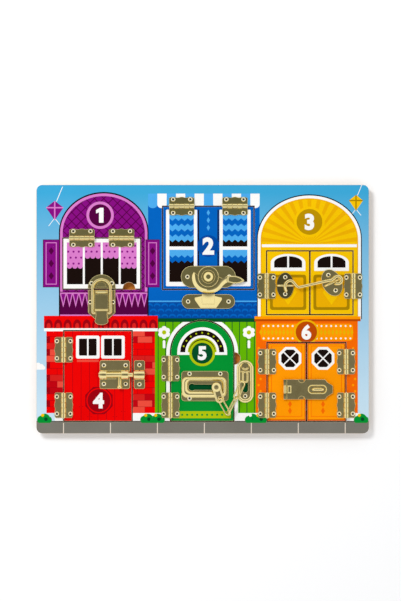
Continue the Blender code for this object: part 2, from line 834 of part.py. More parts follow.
def make_draw_loop():
    """A wire bent to a long loop, with its feet turned in towards the lever."""
    half, length = DRAW_LOOP_HALF, DRAW_LOOP_LENGTH
    bend = DRAW_LOOP_WIRE
    top = arc((0, length - half), half, 0, 180, SIDES)
    right_foot = [(half - DRAW_LOOP_FOOT, 0)] + arc((half - bend, bend), bend, -90, 0, 3)
    left_foot = [(-x, y) for x, y in reversed(right_foot)]
    loop = wire([(x, y, 0) for x, y in right_foot + top + left_foot], DRAW_LOOP_WIRE)
    loop.data.transform(Matrix.Rotation(DRAW_LOOP_TILT, 4, "X"))
    return loop


def make_sash_lock():
    """Catch 2: a turning cam on the window slips under a nose on the board."""
    window = leaves["window_2"]
    middle = (window.left + window.right) / 2
    plate_y = window.bottom + SASH_PLATE_RISE
    plate = prism([obround(SASH_PLATE_LENGTH, SASH_PLATE_WIDTH)], 0, SASH_PLATE)
    heads = [screw(side * SASH_SCREW, 0, SASH_PLATE) for side in (-1, 1)]
    lever_low = SASH_PLATE + FIT
    hub_top = lever_low + SASH_CAM_THICKNESS + SASH_HUB_HEIGHT + SASH_STEP_HEIGHT
    rivet_low = hub_top + FIT
    post = cone((0, 0, SASH_PLATE - SINK), (0, 0, rivet_low + SINK), SASH_POST_RADIUS)
    rivet = cone(
        (0, 0, rivet_low),
        (0, 0, rivet_low + SASH_RIVET_HEIGHT),
        SASH_RIVET_RADIUS,
        SASH_RIVET_RADIUS * SCREW_TOP_SHARE,
    )
    combine(plate, [*heads, post, rivet])
    finish(plate, "sash_plate", "brass", (middle, plate_y, SEAT), pivots["window_2"])

    at = Vector((middle, plate_y, SEAT + lever_low))
    pivot("sash_lever", at, pivots["window_2"])
    finish(make_sash_lever(), "sash_lever", "brass", at, pivots["sash_lever"])

    keeper_y = window.bottom - SASH_KEEPER_DROP
    lip_y = plate_y - SASH_CAM_REACH - SASH_NOSE_GAP - keeper_y
    keeper = prism([obround(SASH_KEEPER_LENGTH, SASH_KEEPER_WIDTH)], 0, SASH_PLATE)
    heads = [screw(side * SASH_KEEPER_SCREW, 0, SASH_PLATE) for side in (-1, 1)]
    lip_low = lever_low + SASH_CAM_THICKNESS + FIT
    lip_top = lip_low + SASH_NOSE_HEIGHT
    wide = SASH_NOSE_WIDTH / 2
    lip = prism([rectangle(-wide, wide, lip_y - SASH_NOSE_LENGTH, lip_y)], lip_low, lip_top)
    body_top = lip_y - SASH_NOSE_SETBACK
    body_low = lip_y - SASH_NOSE_LENGTH
    body = prism([rectangle(-wide, wide, body_low, body_top)], SASH_PLATE - SINK, lip_low + SINK)
    broad = SASH_SHOULDER_WIDTH / 2
    shoulder = [
        (-wide, body_top),
        (-broad, body_top - SASH_NOSE_SETBACK),
        (-broad, (body_low + body_top) / 2),
        (-wide, body_low),
        (wide, body_low),
        (broad, (body_low + body_top) / 2),
        (broad, body_top - SASH_NOSE_SETBACK),
        (wide, body_top),
    ]
    mound = prism([shoulder[::-1]], SASH_PLATE - SINK, SASH_PLATE + SASH_SHOULDER_HEIGHT)
    combine(keeper, [mound, body, lip, *heads])
    finish(keeper, "sash_keeper", "brass", (middle, keeper_y, SEAT))


def make_sash_lever():
    """The cam, the stepped hub and the thumb tab, bored for the post."""
    cam = []
    for angle, share in SASH_CAM_GROWTH_SHARES:
        reach = SASH_CAM_REACH * share
        turn = math.radians(angle)
        cam.append((reach * math.cos(turn), reach * math.sin(turn)))
    cam += arc((0, 0), SASH_HUB_RADIUS, 0, 172, FEW_SIDES)
    low = 0.0
    high = SASH_CAM_THICKNESS
    lever = prism([cam], low, high)
    hub_top = high + SASH_HUB_HEIGHT
    hub = cone((0, 0, high - SINK), (0, 0, hub_top), SASH_HUB_RADIUS, sides=MANY_SIDES)
    step = cone(
        (0, 0, hub_top - SINK),
        (0, 0, hub_top + SASH_STEP_HEIGHT),
        SASH_STEP_RADIUS,
        sides=MANY_SIDES,
    )
    half = SASH_TAB_WIDTH / 2
    start = SASH_STEP_RADIUS
    tip = arc((SASH_TAB_REACH - half, 0), half, -90, 90, FEW_SIDES)
    tab_low = high - SASH_STEP_HEIGHT + SINK
    root = half * SASH_TAB_ROOT_SHARE
    tab = prism([[(start, -root), *tip, (start, root)]], tab_low, tab_low + SASH_TAB_THICKNESS)
    tab.data.transform(Matrix.Rotation(SASH_TAB_TURN, 4, "Z"))
    bore = cone((0, 0, -OVERRUN), (0, 0, hub_top + OVERRUN), SASH_POST_RADIUS + FIT)
    return combine(lever, [hub, step, tab], [bore])


def eye_plate(width, length):
    """An oval plate along Y with a staple across it."""
    oval = [
        (width / 2 * math.cos(math.radians(a)), length / 2 * math.sin(math.radians(a)))
        for a in range(0, 360, 15)
    ]
    plate = prism([oval], 0, PLATE)
    heads = [screw(0, side * EYE_SCREW, PLATE) for side in (-1, 1)]
    top = PLATE + STAPLE_RISE
    bend = STAPLE_RISE / 2
    right = [
        (STAPLE_HALF, 0, PLATE - SINK),
        (STAPLE_HALF, 0, top - bend),
        (STAPLE_HALF - bend / 2, 0, top - bend / 4),
        (STAPLE_HALF - bend, 0, top),
    ]
    left = [(-x, y, z) for x, y, z in reversed(right)]
    return combine(plate, [*heads, wire(right + left, STAPLE_WIRE)])


def make_hook_and_eye():
    """Catch 3: a hook on the right door lies over a staple on the left door."""
    left, right = leaves["door_3_left"], leaves["door_3_right"]
    eye_x = left.axis().x + HINGE_LEAF + LEFT_EYE_GAP + EYE_WIDTH / 2
    eye = Vector((eye_x, left.bottom + LEFT_EYE_RISE, SEAT))
    finish(eye_plate(EYE_WIDTH, EYE_LENGTH), "hook_eye", "brass", eye, pivots["door_3_left"])
    at = Vector((right.right - RIGHT_EYE_SETBACK, right.bottom + RIGHT_EYE_RISE, SEAT))
    plate = eye_plate(RIGHT_EYE_WIDTH, RIGHT_EYE_LENGTH)
    finish(plate, "hook_plate", "brass", at, pivots["door_3_right"], RIGHT_EYE_TURN)

    ring = at + Vector((math.cos(RIGHT_EYE_TURN), math.sin(RIGHT_EYE_TURN), 0)) * HOOK_RING_ALONG
    ring.z = PLATE_TOP + STAPLE_RISE + STAPLE_WIRE + FIT + HOOK_WIRE
    run = (ring - eye).to_2d()
    offset = HOOK_BEND * HOOK_CREST_SHARE
    turn = math.atan2(run.y, run.x) + math.asin(offset / run.length)
    reach = math.sqrt(run.length_squared - offset**2) + HOOK_BEND * HOOK_PAST_SHARE
    back = Vector((math.cos(turn), math.sin(turn), 0)) * HOOK_RING_RADIUS
    pivot("hook", ring + back, pivots["door_3_right"])
    finish(make_hook(reach), "hook", "brass", ring, pivots["hook"], math.pi + turn)


def make_hook(reach):
    """A wire along X: a ring round the origin, a shank, and a bend that dips at its end."""
    ring = [(x, y, 0) for x, y in arc((0, 0), HOOK_RING_RADIUS, 40, 320, SIDES)]
    neck = [
        (HOOK_RING_RADIUS * along, -HOOK_RING_RADIUS * across, 0)
        for along, across in HOOK_NECK_SHARES
    ]
    bend = [
        (reach - HOOK_BEND * back, -HOOK_BEND * across, -HOOK_BEND * drop)
        for back, across, drop in HOOK_BEND_SHARES
    ]
    return wire(ring + neck + bend, HOOK_WIRE)


def make_barrel_bolt():
    """Catch 4: a bolt that slides in two hoops on the door, into a keeper on the board."""
    door = leaves["door_4"]
    case_x = door.right - BOLT_CASE_SETBACK - BOLT_CASE_LENGTH / 2
    case_y = door.top - BOLT_DROP
    rise = PLATE + FIT + BOLT_RADIUS
    outline = rounded(BOLT_CASE_LENGTH, BOLT_CASE_WIDTH, BOLT_HANDLE_RADIUS)
    case = prism([outline], 0, PLATE)
    across, up = BOLT_SCREW
    adds = [screw(x * across, y * up, PLATE) for x in (-1, 1) for y in (-1, 1)]
    for place in BOLT_HOOP_PLACES:
        adds += bolt_hoop(place, BOLT_HOOP_LENGTH, rise)
    reach = BOLT_CASE_LENGTH
    bore = cone((-reach, 0, rise), (reach, 0, rise), BOLT_RADIUS + FIT)
    passage = block(
        (0, -BOLT_HOOP_OUTER - OVERRUN, PLATE + FIT),
        (BOLT_CASE_LENGTH, 0, rise + BOLT_HANDLE_RADIUS + FIT),
    )
    combine(case, adds, [bore, passage])
    finish(case, "bolt_case", "brass", (case_x, case_y, SEAT), pivots["door_4"])

    keeper_x = door.right + BOLT_KEEPER_SETBACK + BOLT_KEEPER_LENGTH / 2
    outline = rounded(BOLT_KEEPER_LENGTH, BOLT_KEEPER_WIDTH, BOLT_HANDLE_RADIUS)
    keeper = prism([outline], 0, PLATE)
    adds = [screw(0, side * BOLT_KEEPER_SCREW, PLATE) for side in (-1, 1)]
    adds += bolt_hoop(0, BOLT_KEEPER_LENGTH, rise)
    bore = cone((-reach, 0, rise), (reach, 0, rise), BOLT_RADIUS + FIT)
    finish(combine(keeper, adds, [bore]), "bolt_keeper", "brass", (keeper_x, case_y, SEAT))

    tip = door.right + BOLT_KEEPER_SETBACK - BOLT_TIP_GAP - case_x
    bolt = cone((-BOLT_TAIL, 0, 0), (tip, 0, 0), BOLT_RADIUS)
    end = -BOLT_HANDLE_LENGTH
    stem = cone((BOLT_HANDLE_PLACE, 0, 0), (BOLT_HANDLE_PLACE, end, 0), BOLT_HANDLE_RADIUS)
    knob = cone(
        (BOLT_HANDLE_PLACE, end + BOLT_KNOB_LENGTH, 0),
        (BOLT_HANDLE_PLACE, end, 0),
        BOLT_HANDLE_RADIUS,
        BOLT_KNOB_RADIUS,
    )
    at = Vector((case_x, case_y, SEAT + rise))
    pivot("bolt", at, pivots["door_4"])
    finish(combine(bolt, [stem, knob]), "bolt", "brass", at, pivots["bolt"])


def bolt_hoop(place, length, rise):
    """A hoop over the bolt, with a square foot and a round top."""
    low = PLATE - SINK
    outline = [(-BOLT_HOOP_OUTER, low), (BOLT_HOOP_OUTER, low)]
    outline += arc((0, rise), BOLT_HOOP_OUTER, 0, 180, MANY_SIDES)
    hoop = prism([outline], place - length / 2, place + length / 2)
    hoop.data.transform(Matrix(((0, 0, 1, 0), (1, 0, 0, 0), (0, 1, 0, 0), (0, 0, 0, 1))))
    return [hoop]


def make_chain_guard():
    """Catch 5: a slider in a keyhole track holds a chain whose far end lies at the anchor."""
    door = leaves["door_5"]
    track_x = door.right - TRACK_SETBACK - TRACK_LENGTH / 2
    track_y = door.bottom + TRACK_RISE
    finish(make_track(), "chain_track", "brass", (track_x, track_y, SEAT), pivots["door_5"])

    at = Vector((track_x + SLIDER_PLACE, track_y - SLOT_DROP, SEAT))
    pivot("chain_slider", at, pivots["door_5"])
    finish(make_slider(), "chain_slider", "brass", at, pivots["chain_slider"])

    carrier = pivots["chain_slider"]
    joint = at + Vector((math.cos(TAG_TURN), math.sin(TAG_TURN), 0)) * TAG_LENGTH
    joint.z = SEAT + TAG_LOW + TAG_THICKNESS / 2
    for number, (turn, tilt, lift) in enumerate(zip(LINK_TURNS, LINK_TILTS, LINK_LIFTS), start=1):
        name = f"chain_link_{number}"
        pivot(name, joint, carrier)
        finish(make_link(tilt), name, "brass", joint, pivots[name], turn)
        carrier = pivots[name]
        joint = joint + Vector((math.cos(turn), math.sin(turn), 0)) * (LINK_PITCH - LINK_SLACK)
        joint.z += lift

    anchor_x = door.right + ANCHOR_SETBACK
    anchor_y = door.bottom + ANCHOR_RISE
    finish(make_anchor(), "chain_anchor", "brass", (anchor_x, anchor_y, SEAT))


def make_track():
    """A plate with a raised ridge round a sunk skin, which the keyhole slot goes through."""
    plate = prism([rounded(TRACK_LENGTH, TRACK_WIDTH, TRACK_CORNER)], 0, PLATE)
    across, up = TRACK_SCREW
    heads = [screw(x * across, y * up, PLATE) for x in (-1, 1) for y in (-1, 1)]
    ridge_outline = rounded(TRACK_RIDGE_LENGTH, TRACK_RIDGE_WIDTH, TRACK_CORNER, TRACK_RIDGE_SHIFT)
    ridge = prism([ridge_outline], PLATE - SINK, PLATE + TRACK_RIDGE_HEIGHT)
    skin_low = PLATE + TRACK_SKIN_RISE
    skin_top = skin_low + TRACK_SKIN
    mouth = rounded(TRACK_MOUTH_LENGTH, TRACK_MOUTH_WIDTH, TRACK_CORNER / 2)
    above = prism([mouth], skin_top, PLATE + TRACK_RIDGE_HEIGHT + OVERRUN)
    below = prism([mouth], -OVERRUN, skin_low)
    slot_outline = rectangle(-KEYHOLE_PLACE, SLOT_END - SLOT_WIDTH / 2, -SLOT_WIDTH / 2, SLOT_WIDTH / 2)
    slot = prism([slot_outline], skin_low - OVERRUN, skin_top + OVERRUN)
    cuts = [above, below, slot]
    for place, radius in ((-KEYHOLE_PLACE, KEYHOLE_RADIUS), (SLOT_END - SLOT_WIDTH / 2, SLOT_WIDTH / 2)):
        cuts.append(
            cone((place, 0, skin_low - OVERRUN), (place, 0, skin_top + OVERRUN), radius)
        )
    for cut in cuts[2:]:
        cut.data.transform(Matrix.Translation((0, -SLOT_DROP, 0)))
    return combine(plate, [ridge, *heads], cuts)


def make_slider():
    """A flange under the skin, a neck in the slot, a tag with a hole, and a knob."""
    skin_low = PLATE + TRACK_SKIN_RISE
    flange_top = skin_low - FIT
    flange = cone((0, 0, flange_top - SLIDER_FLANGE_HEIGHT), (0, 0, flange_top), SLIDER_FLANGE)
    washer_low = PLATE + TRACK_RIDGE_HEIGHT + FIT
    neck = cone((0, 0, flange_top - SINK), (0, 0, TAG_LOW + SINK), SLIDER_NECK)
    washer = cone((0, 0, washer_low), (0, 0, TAG_LOW + SINK), SLIDER_WASHER)
    outline = arc((0, 0), TAG_RADIUS, 90, 270, FEW_SIDES) + arc(
        (TAG_LENGTH, 0), TAG_RADIUS, -90, 90, FEW_SIDES
    )
    hole = arc((TAG_LENGTH, 0), TAG_HOLE, 0, 330, FEW_SIDES + 1)
    tag = prism([outline, hole], TAG_LOW, TAG_LOW + TAG_THICKNESS)
    tag.data.transform(Matrix.Rotation(TAG_TURN, 4, "Z"))
    knob_low = TAG_LOW + TAG_THICKNESS - SINK
    knob = cone(
        (0, 0, knob_low),
        (0, 0, knob_low + SLIDER_KNOB_HEIGHT),
        SLIDER_KNOB,
        SLIDER_KNOB * SCREW_TOP_SHARE,
    )
    return combine(flange, [neck, washer, tag, knob])


def make_link(tilt):
    """A long oval link along X. Its near end's wire is at the origin."""
    radius = LINK_WIDTH / 2 - LINK_WIRE
    near = arc((radius, 0), radius, 90, 270, 8)
    far = arc((LINK_PITCH - radius, 0), radius, -90, 90, 8)
    link = wire([(x, y, 0) for x, y in near + far], LINK_WIRE, closed=True)
    link.data.transform(Matrix.Rotation(tilt, 4, "X"))
    return link


def make_anchor():
    """A long plate along Y with a raised rim, a cross bar and a small ring on the bar."""
    turn = Matrix.Rotation(math.pi / 2, 4, "Z")
    outline = obround(ANCHOR_LENGTH, ANCHOR_WIDTH)
    inside = obround(ANCHOR_LENGTH - 2 * ANCHOR_RIM, ANCHOR_WIDTH - 2 * ANCHOR_RIM)
    window = obround(ANCHOR_WINDOW, ANCHOR_WIDTH - 3 * ANCHOR_RIM)
    plate = prism([outline, window], 0, PLATE)
    rim = prism([outline, inside], PLATE - SINK, PLATE + ANCHOR_RIM_HEIGHT)
    for piece in (plate, rim):
        piece.data.transform(turn)
    heads = [screw(0, side * ANCHOR_SCREW, PLATE) for side in (-1, 1)]
    reach = ANCHOR_WIDTH / 2 - ANCHOR_RIM + SINK
    bar = cone(
        (-reach, ANCHOR_BAR_RISE, PLATE),
        (reach, ANCHOR_BAR_RISE, PLATE),
        ANCHOR_RING_WIRE,
        sides=FEW_SIDES,
    )
    radius = ANCHOR_RING_WIDTH / 2 - ANCHOR_RING_WIRE
    run = ANCHOR_RING_LENGTH / 2 - ANCHOR_RING_WIRE - radius
    ring_y = ANCHOR_BAR_RISE - run - radius
    points = arc((0, ring_y + run), radius, 0, 180, 6) + arc((0, ring_y - run), radius, 180, 360, 6)
    ring = wire([(x, y, PLATE + SINK) for x, y in points], ANCHOR_RING_WIRE, closed=True)
    return combine(plate, [rim, bar, ring, *heads])


def make_hasp():
    """Catch 6: a strap on the left door folds over a staple on the right door."""
    left = leaves["door_6_left"]
    at = Vector((left.left + HASP_PLACE, left.bottom + HASP_RISE, SEAT + HASP_BARREL))
    half = HASP_WIDTH / 2
    knuckle_half = HASP_KNUCKLE / 2
    low = -HASP_BARREL

    fixed = prism([rectangle(HASP_BARREL + FIT, HASP_LEAF, -half, half)], low, low + PLATE)
    tab = block((0, -knuckle_half, low), (HASP_BARREL + 2 * FIT, knuckle_half, low + PLATE))
    barrel = cone((0, -knuckle_half, 0), (0, knuckle_half, 0), HASP_BARREL)
    pin = cone((0, -half, 0), (0, half, 0), HASP_PIN, sides=FEW_SIDES)
    finish(combine(fixed, [tab, barrel, pin]), "hasp_base", "brass", at, pivots["door_6_left"])

    pivot("hasp_strap", at, pivots["door_6_left"])
    finish(make_strap(half, knuckle_half), "hasp_strap", "brass", at, pivots["hasp_strap"])

    length, width = HASP_FOOT
    foot = prism([rounded(length, width, HASP_STAPLE_WIRE)], 0, PLATE)
    reach = HASP_STAPLE_LENGTH / 2 - HASP_STAPLE_WIRE
    top = HASP_STAPLE_RISE
    bend = HASP_STAPLE_WIRE
    right = [
        (reach, 0, PLATE - SINK),
        (reach, 0, top - bend),
        (reach - bend / 3, 0, top - bend / 3),
        (reach - bend, 0, top),
    ]
    staple_left = [(-x, y, z) for x, y, z in reversed(right)]
    combine(foot, [wire(right + staple_left, HASP_STAPLE_WIRE)])
    place = Vector((at.x + HASP_STAPLE_PLACE, at.y, SEAT))
    finish(foot, "hasp_staple", "brass", place, pivots["door_6_right"])


def make_strap(half, knuckle_half):
    """The folding strap: two outer knuckles, two waist notches, a slot and a pointed nose."""
    nose = [(HASP_LENGTH * x, half * y) for x, y in HASP_NOSE_SHARES]
    outline = [(HASP_BARREL + FIT, -half)]
    outline += [(x, -y) for x, y in nose]
    outline += list(reversed(nose))
    outline += [(HASP_BARREL + FIT, half)]
    low = -HASP_BARREL + PLATE + FIT
    high = low + HASP_THICKNESS
    strap = prism([outline], low, high)
    adds = []
    for side in (-1, 1):
        near, far = sorted((side * (knuckle_half + FIT), side * half))
        adds.append(cone((0, near, 0), (0, far, 0), HASP_BARREL))
        adds.append(block((0, near, low), (HASP_BARREL + 2 * FIT, far, high)))
    start, end = HASP_SLOT
    slot_centre = ((start + end) / 2, 0)
    slot = rounded(end - start, HASP_SLOT_WIDTH, HASP_STAPLE_WIRE, slot_centre)
    cuts = [prism([slot], low - OVERRUN, high + OVERRUN)]
    for side in (-1, 1):
        cuts.append(
            cone(
                (HASP_NOTCH_PLACE, side * half, low - OVERRUN),
                (HASP_NOTCH_PLACE, side * half, high + OVERRUN),
                HASP_NOTCH,
            )
        )
    cuts.append(cone((0, -half - OVERRUN, 0), (0, half + OVERRUN, 0), HASP_PIN + FIT, sides=FEW_SIDES))
    return combine(strap, adds, cuts)


WELD = 1e-6
SHARP = math.radians(35)
HALF_TURN = [math.radians(angle) for angle in range(180, -1, -20)]

clear_scene()
collection = bpy.data.collections.new("latch_board")
bpy.context.scene.collection.children.link(collection)
leaves = {leaf.name: leaf for leaf in make_leaves()}
pivots = {}
make_board()
make_wooden_leaves()
make_hinges()
make_draw_latch()
make_sash_lock()
make_hook_and_eye()
make_barrel_bolt()
make_chain_guard()
make_hasp()
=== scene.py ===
"""The latch board's finish: printed faces, raw wooden edges and bright plated catches.

Each catch is made again here with rolled edges and finer wire, in the place of its plain solid,
and the wooden pieces keep their shape and get a printed film. Sizes are in millimetres here,
and turned into metres where a mesh or an object is made.
"""

import json
import math

import bmesh
import bpy
from mathutils import Matrix, Vector
from mathutils.geometry import delaunay_2d_cdt


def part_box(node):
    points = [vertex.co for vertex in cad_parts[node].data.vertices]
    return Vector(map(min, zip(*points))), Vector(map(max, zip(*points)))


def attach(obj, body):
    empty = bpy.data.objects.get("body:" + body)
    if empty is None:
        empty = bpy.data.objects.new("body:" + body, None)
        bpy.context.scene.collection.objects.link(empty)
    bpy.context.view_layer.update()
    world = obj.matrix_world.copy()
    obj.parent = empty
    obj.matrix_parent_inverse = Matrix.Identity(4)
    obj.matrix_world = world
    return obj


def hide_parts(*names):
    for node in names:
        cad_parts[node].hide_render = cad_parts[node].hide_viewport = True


bl_info = {
    "name": "Latch Board",
    "version": (1, 0, 0),
    "blender": (4, 5, 0),
    "location": "3D View > Sidebar > Latch Board",
    "description": "Dresses a wooden latch board with its prints, wood and catches",
    "category": "Add Mesh",
}

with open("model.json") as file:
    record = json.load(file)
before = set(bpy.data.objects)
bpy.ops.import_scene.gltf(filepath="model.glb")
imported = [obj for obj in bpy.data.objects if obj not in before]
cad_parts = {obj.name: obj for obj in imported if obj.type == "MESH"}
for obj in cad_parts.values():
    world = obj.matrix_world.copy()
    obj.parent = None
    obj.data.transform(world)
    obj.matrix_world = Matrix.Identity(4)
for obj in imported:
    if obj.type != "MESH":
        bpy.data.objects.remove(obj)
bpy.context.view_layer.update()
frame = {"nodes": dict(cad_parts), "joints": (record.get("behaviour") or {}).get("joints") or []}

MM = 0.001
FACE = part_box("front_board")[1].z / MM
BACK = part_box("back_panel")[1].z / MM
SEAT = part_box("draw_base")[0].z / MM
PLATE = 1.0
FIT = 0.3
SINK = 0.2
FILM = 0.05
TRIM = 0.15

# Each window and door, with the wood of its solid, the ink of its ground, and its hinges
LEAVES = {
    "window_1": ("purple_wood", "purple", "1_a", "1_b"),
    "window_2": ("blue_wood", "blue", "2_a", "2_b"),
    "door_3_left": ("yellow_wood", "yellow", "3_left"),
    "door_3_right": ("yellow_wood", "yellow", "3_right"),
    "door_4": ("red_wood", "red", "4_a", "4_b"),
    "door_5": ("green_wood", "green", "5_a", "5_b"),
    "door_6_left": ("orange_wood", "orange", "6_left_a", "6_left_b"),
    "door_6_right": ("orange_wood", "orange", "6_right_a", "6_right_b"),
}

# Printed inks, as they look on the paper
INKS = {
    "purple": (0.21, 0.003, 0.19),
    "deep_purple": (0.077, 0.0, 0.045),
    "lilac": (0.62, 0.18, 0.52),
    "blue": (0.0, 0.11, 0.46),
    "deep_blue": (0.0, 0.06, 0.31),
    "pale_blue": (0.065, 0.36, 0.74),
    "yellow": (0.84, 0.50, 0.0),
    "amber": (0.45, 0.25, 0.0),
    "gold": (0.77, 0.39, 0.0),
    "ochre": (0.36, 0.20, 0.0),
    "red": (0.76, 0.0, 0.0),
    "scarlet": (0.62, 0.012, 0.01),
    "brick": (0.48, 0.0, 0.004),
    "deep_red": (0.30, 0.0, 0.004),
    "coral": (0.76, 0.066, 0.04),
    "green": (0.0, 0.255, 0.028),
    "leaf": (0.11, 0.40, 0.0),
    "deep_green": (0.0, 0.066, 0.016),
    "lime": (0.40, 0.49, 0.002),
    "orange": (0.85, 0.13, 0.0),
    "tangerine": (0.92, 0.29, 0.0),
    "rust": (0.45, 0.06, 0.0),
    "umber": (0.72, 0.27, 0.045),
    "night": (0.008, 0.003, 0.002),
    "white": (0.86, 0.85, 0.83),
    "stone": (0.18, 0.17, 0.142),
    "deep_stone": (0.09, 0.085, 0.07),
    "sand": (0.70, 0.61, 0.50),
}


def millimetres(name):
    """A node's left, right, low and high edges."""
    low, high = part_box(name)
    return low.x / MM, high.x / MM, low.y / MM, high.y / MM


def seat(name):
    """The middle of a plate's foot."""
    left, right, low, high = millimetres(name)
    return Vector(((left + right) / 2, (low + high) / 2, SEAT))


def joint_place(name):
    """Where a joint's axis is, at rest."""
    for joint in frame["joints"]:
        if joint["name"] == name:
            return Vector(joint["pos_m"]) / MM
    raise ValueError(f"no joint is called {name}")


def metres(place):
    """A flat or solid place in millimetres, as a vector in metres."""
    x, y, z = (*place, 0)[:3]
    return Vector((x * MM, y * MM, z * MM))


# Shapes in the plane


def arc(centre, radius, start, end, steps):
    """Points on an arc, with its angles in degrees."""
    angles = [math.radians(start + (end - start) * step / steps) for step in range(steps + 1)]
    return [(centre[0] + radius * math.cos(a), centre[1] + radius * math.sin(a)) for a in angles]


def disc(x, y, radius, steps=40, squash=1.0):
    ring = arc((0, 0), radius, 0, 360 - 360 / steps, steps - 1)
    return [(x + px, y + py * squash) for px, py in ring]


def rectangle(left, right, low, high):
    return [(left, low), (right, low), (right, high), (left, high)]


def rounded(left, right, low, high, radius, steps=6):
    points = []
    for x, y, start in (
        (right - radius, low + radius, -90),
        (right - radius, high - radius, 0),
        (left + radius, high - radius, 90),
        (left + radius, low + radius, 180),
    ):
        points += arc((x, y), radius, start, start + 90, steps)
    return points


def pad(across, along, radius, steps=6, x=0.0, y=0.0):
    """A rounded rectangle round a centre, from half its width and half its height."""
    return rounded(x - across, x + across, y - along, y + along, radius, steps)


def arched(left, right, low, spring, squash=1.0, steps=36):
    """A rectangle with a half-round top that starts at the height spring."""
    top = arc((0, 0), (right - left) / 2, 0, 180, steps)
    middle = (left + right) / 2
    return [(left, low), (right, low)] + [(middle + x, spring + y * squash) for x, y in top]


def obround(length, width, steps=16):
    """A slot shape along X."""
    reach = (length - width) / 2
    right = arc((reach, 0), width / 2, -90, 90, steps)
    return right + arc((-reach, 0), width / 2, 90, 270, steps)


def star(x, y, outer, inner, points, turn=90):
    corners = []
    for number in range(points * 2):
        angle = math.radians(turn + 180 * number / points)
        radius = inner if number % 2 else outer
        corners.append((x + radius * math.cos(angle), y + radius * math.sin(angle)))
    return corners


def area(corners):
    pairs = zip(corners, corners[1:] + corners[:1])
    return sum(x1 * y2 - x2 * y1 for (x1, y1), (x2, y2) in pairs) / 2


def mirrored(points):
    """The same path on the other side of X, drawn backwards."""
    return [(-x, *rest) for x, *rest in reversed(points)]


def smooth(points, steps=6, closed=False):
    """A rounder path through the same points."""
    points = [Vector(point) for point in points]
    count = len(points)
    path = []
    for number in range(count if closed else count - 1):
        near = [number + offset for offset in (-1, 0, 1, 2)]
        around = [index % count if closed else min(max(index, 0), count - 1) for index in near]
        before, start, end, after = (points[index] for index in around)
        for step in range(steps):
            t = step / steps
            square = (2 * before - 5 * start + 4 * end - after) * t**2
            cube = (3 * start - before - 3 * end + after) * t**3
            path.append(0.5 * (2 * start + (end - before) * t + square + cube))
    return path if closed else path + points[-1:]


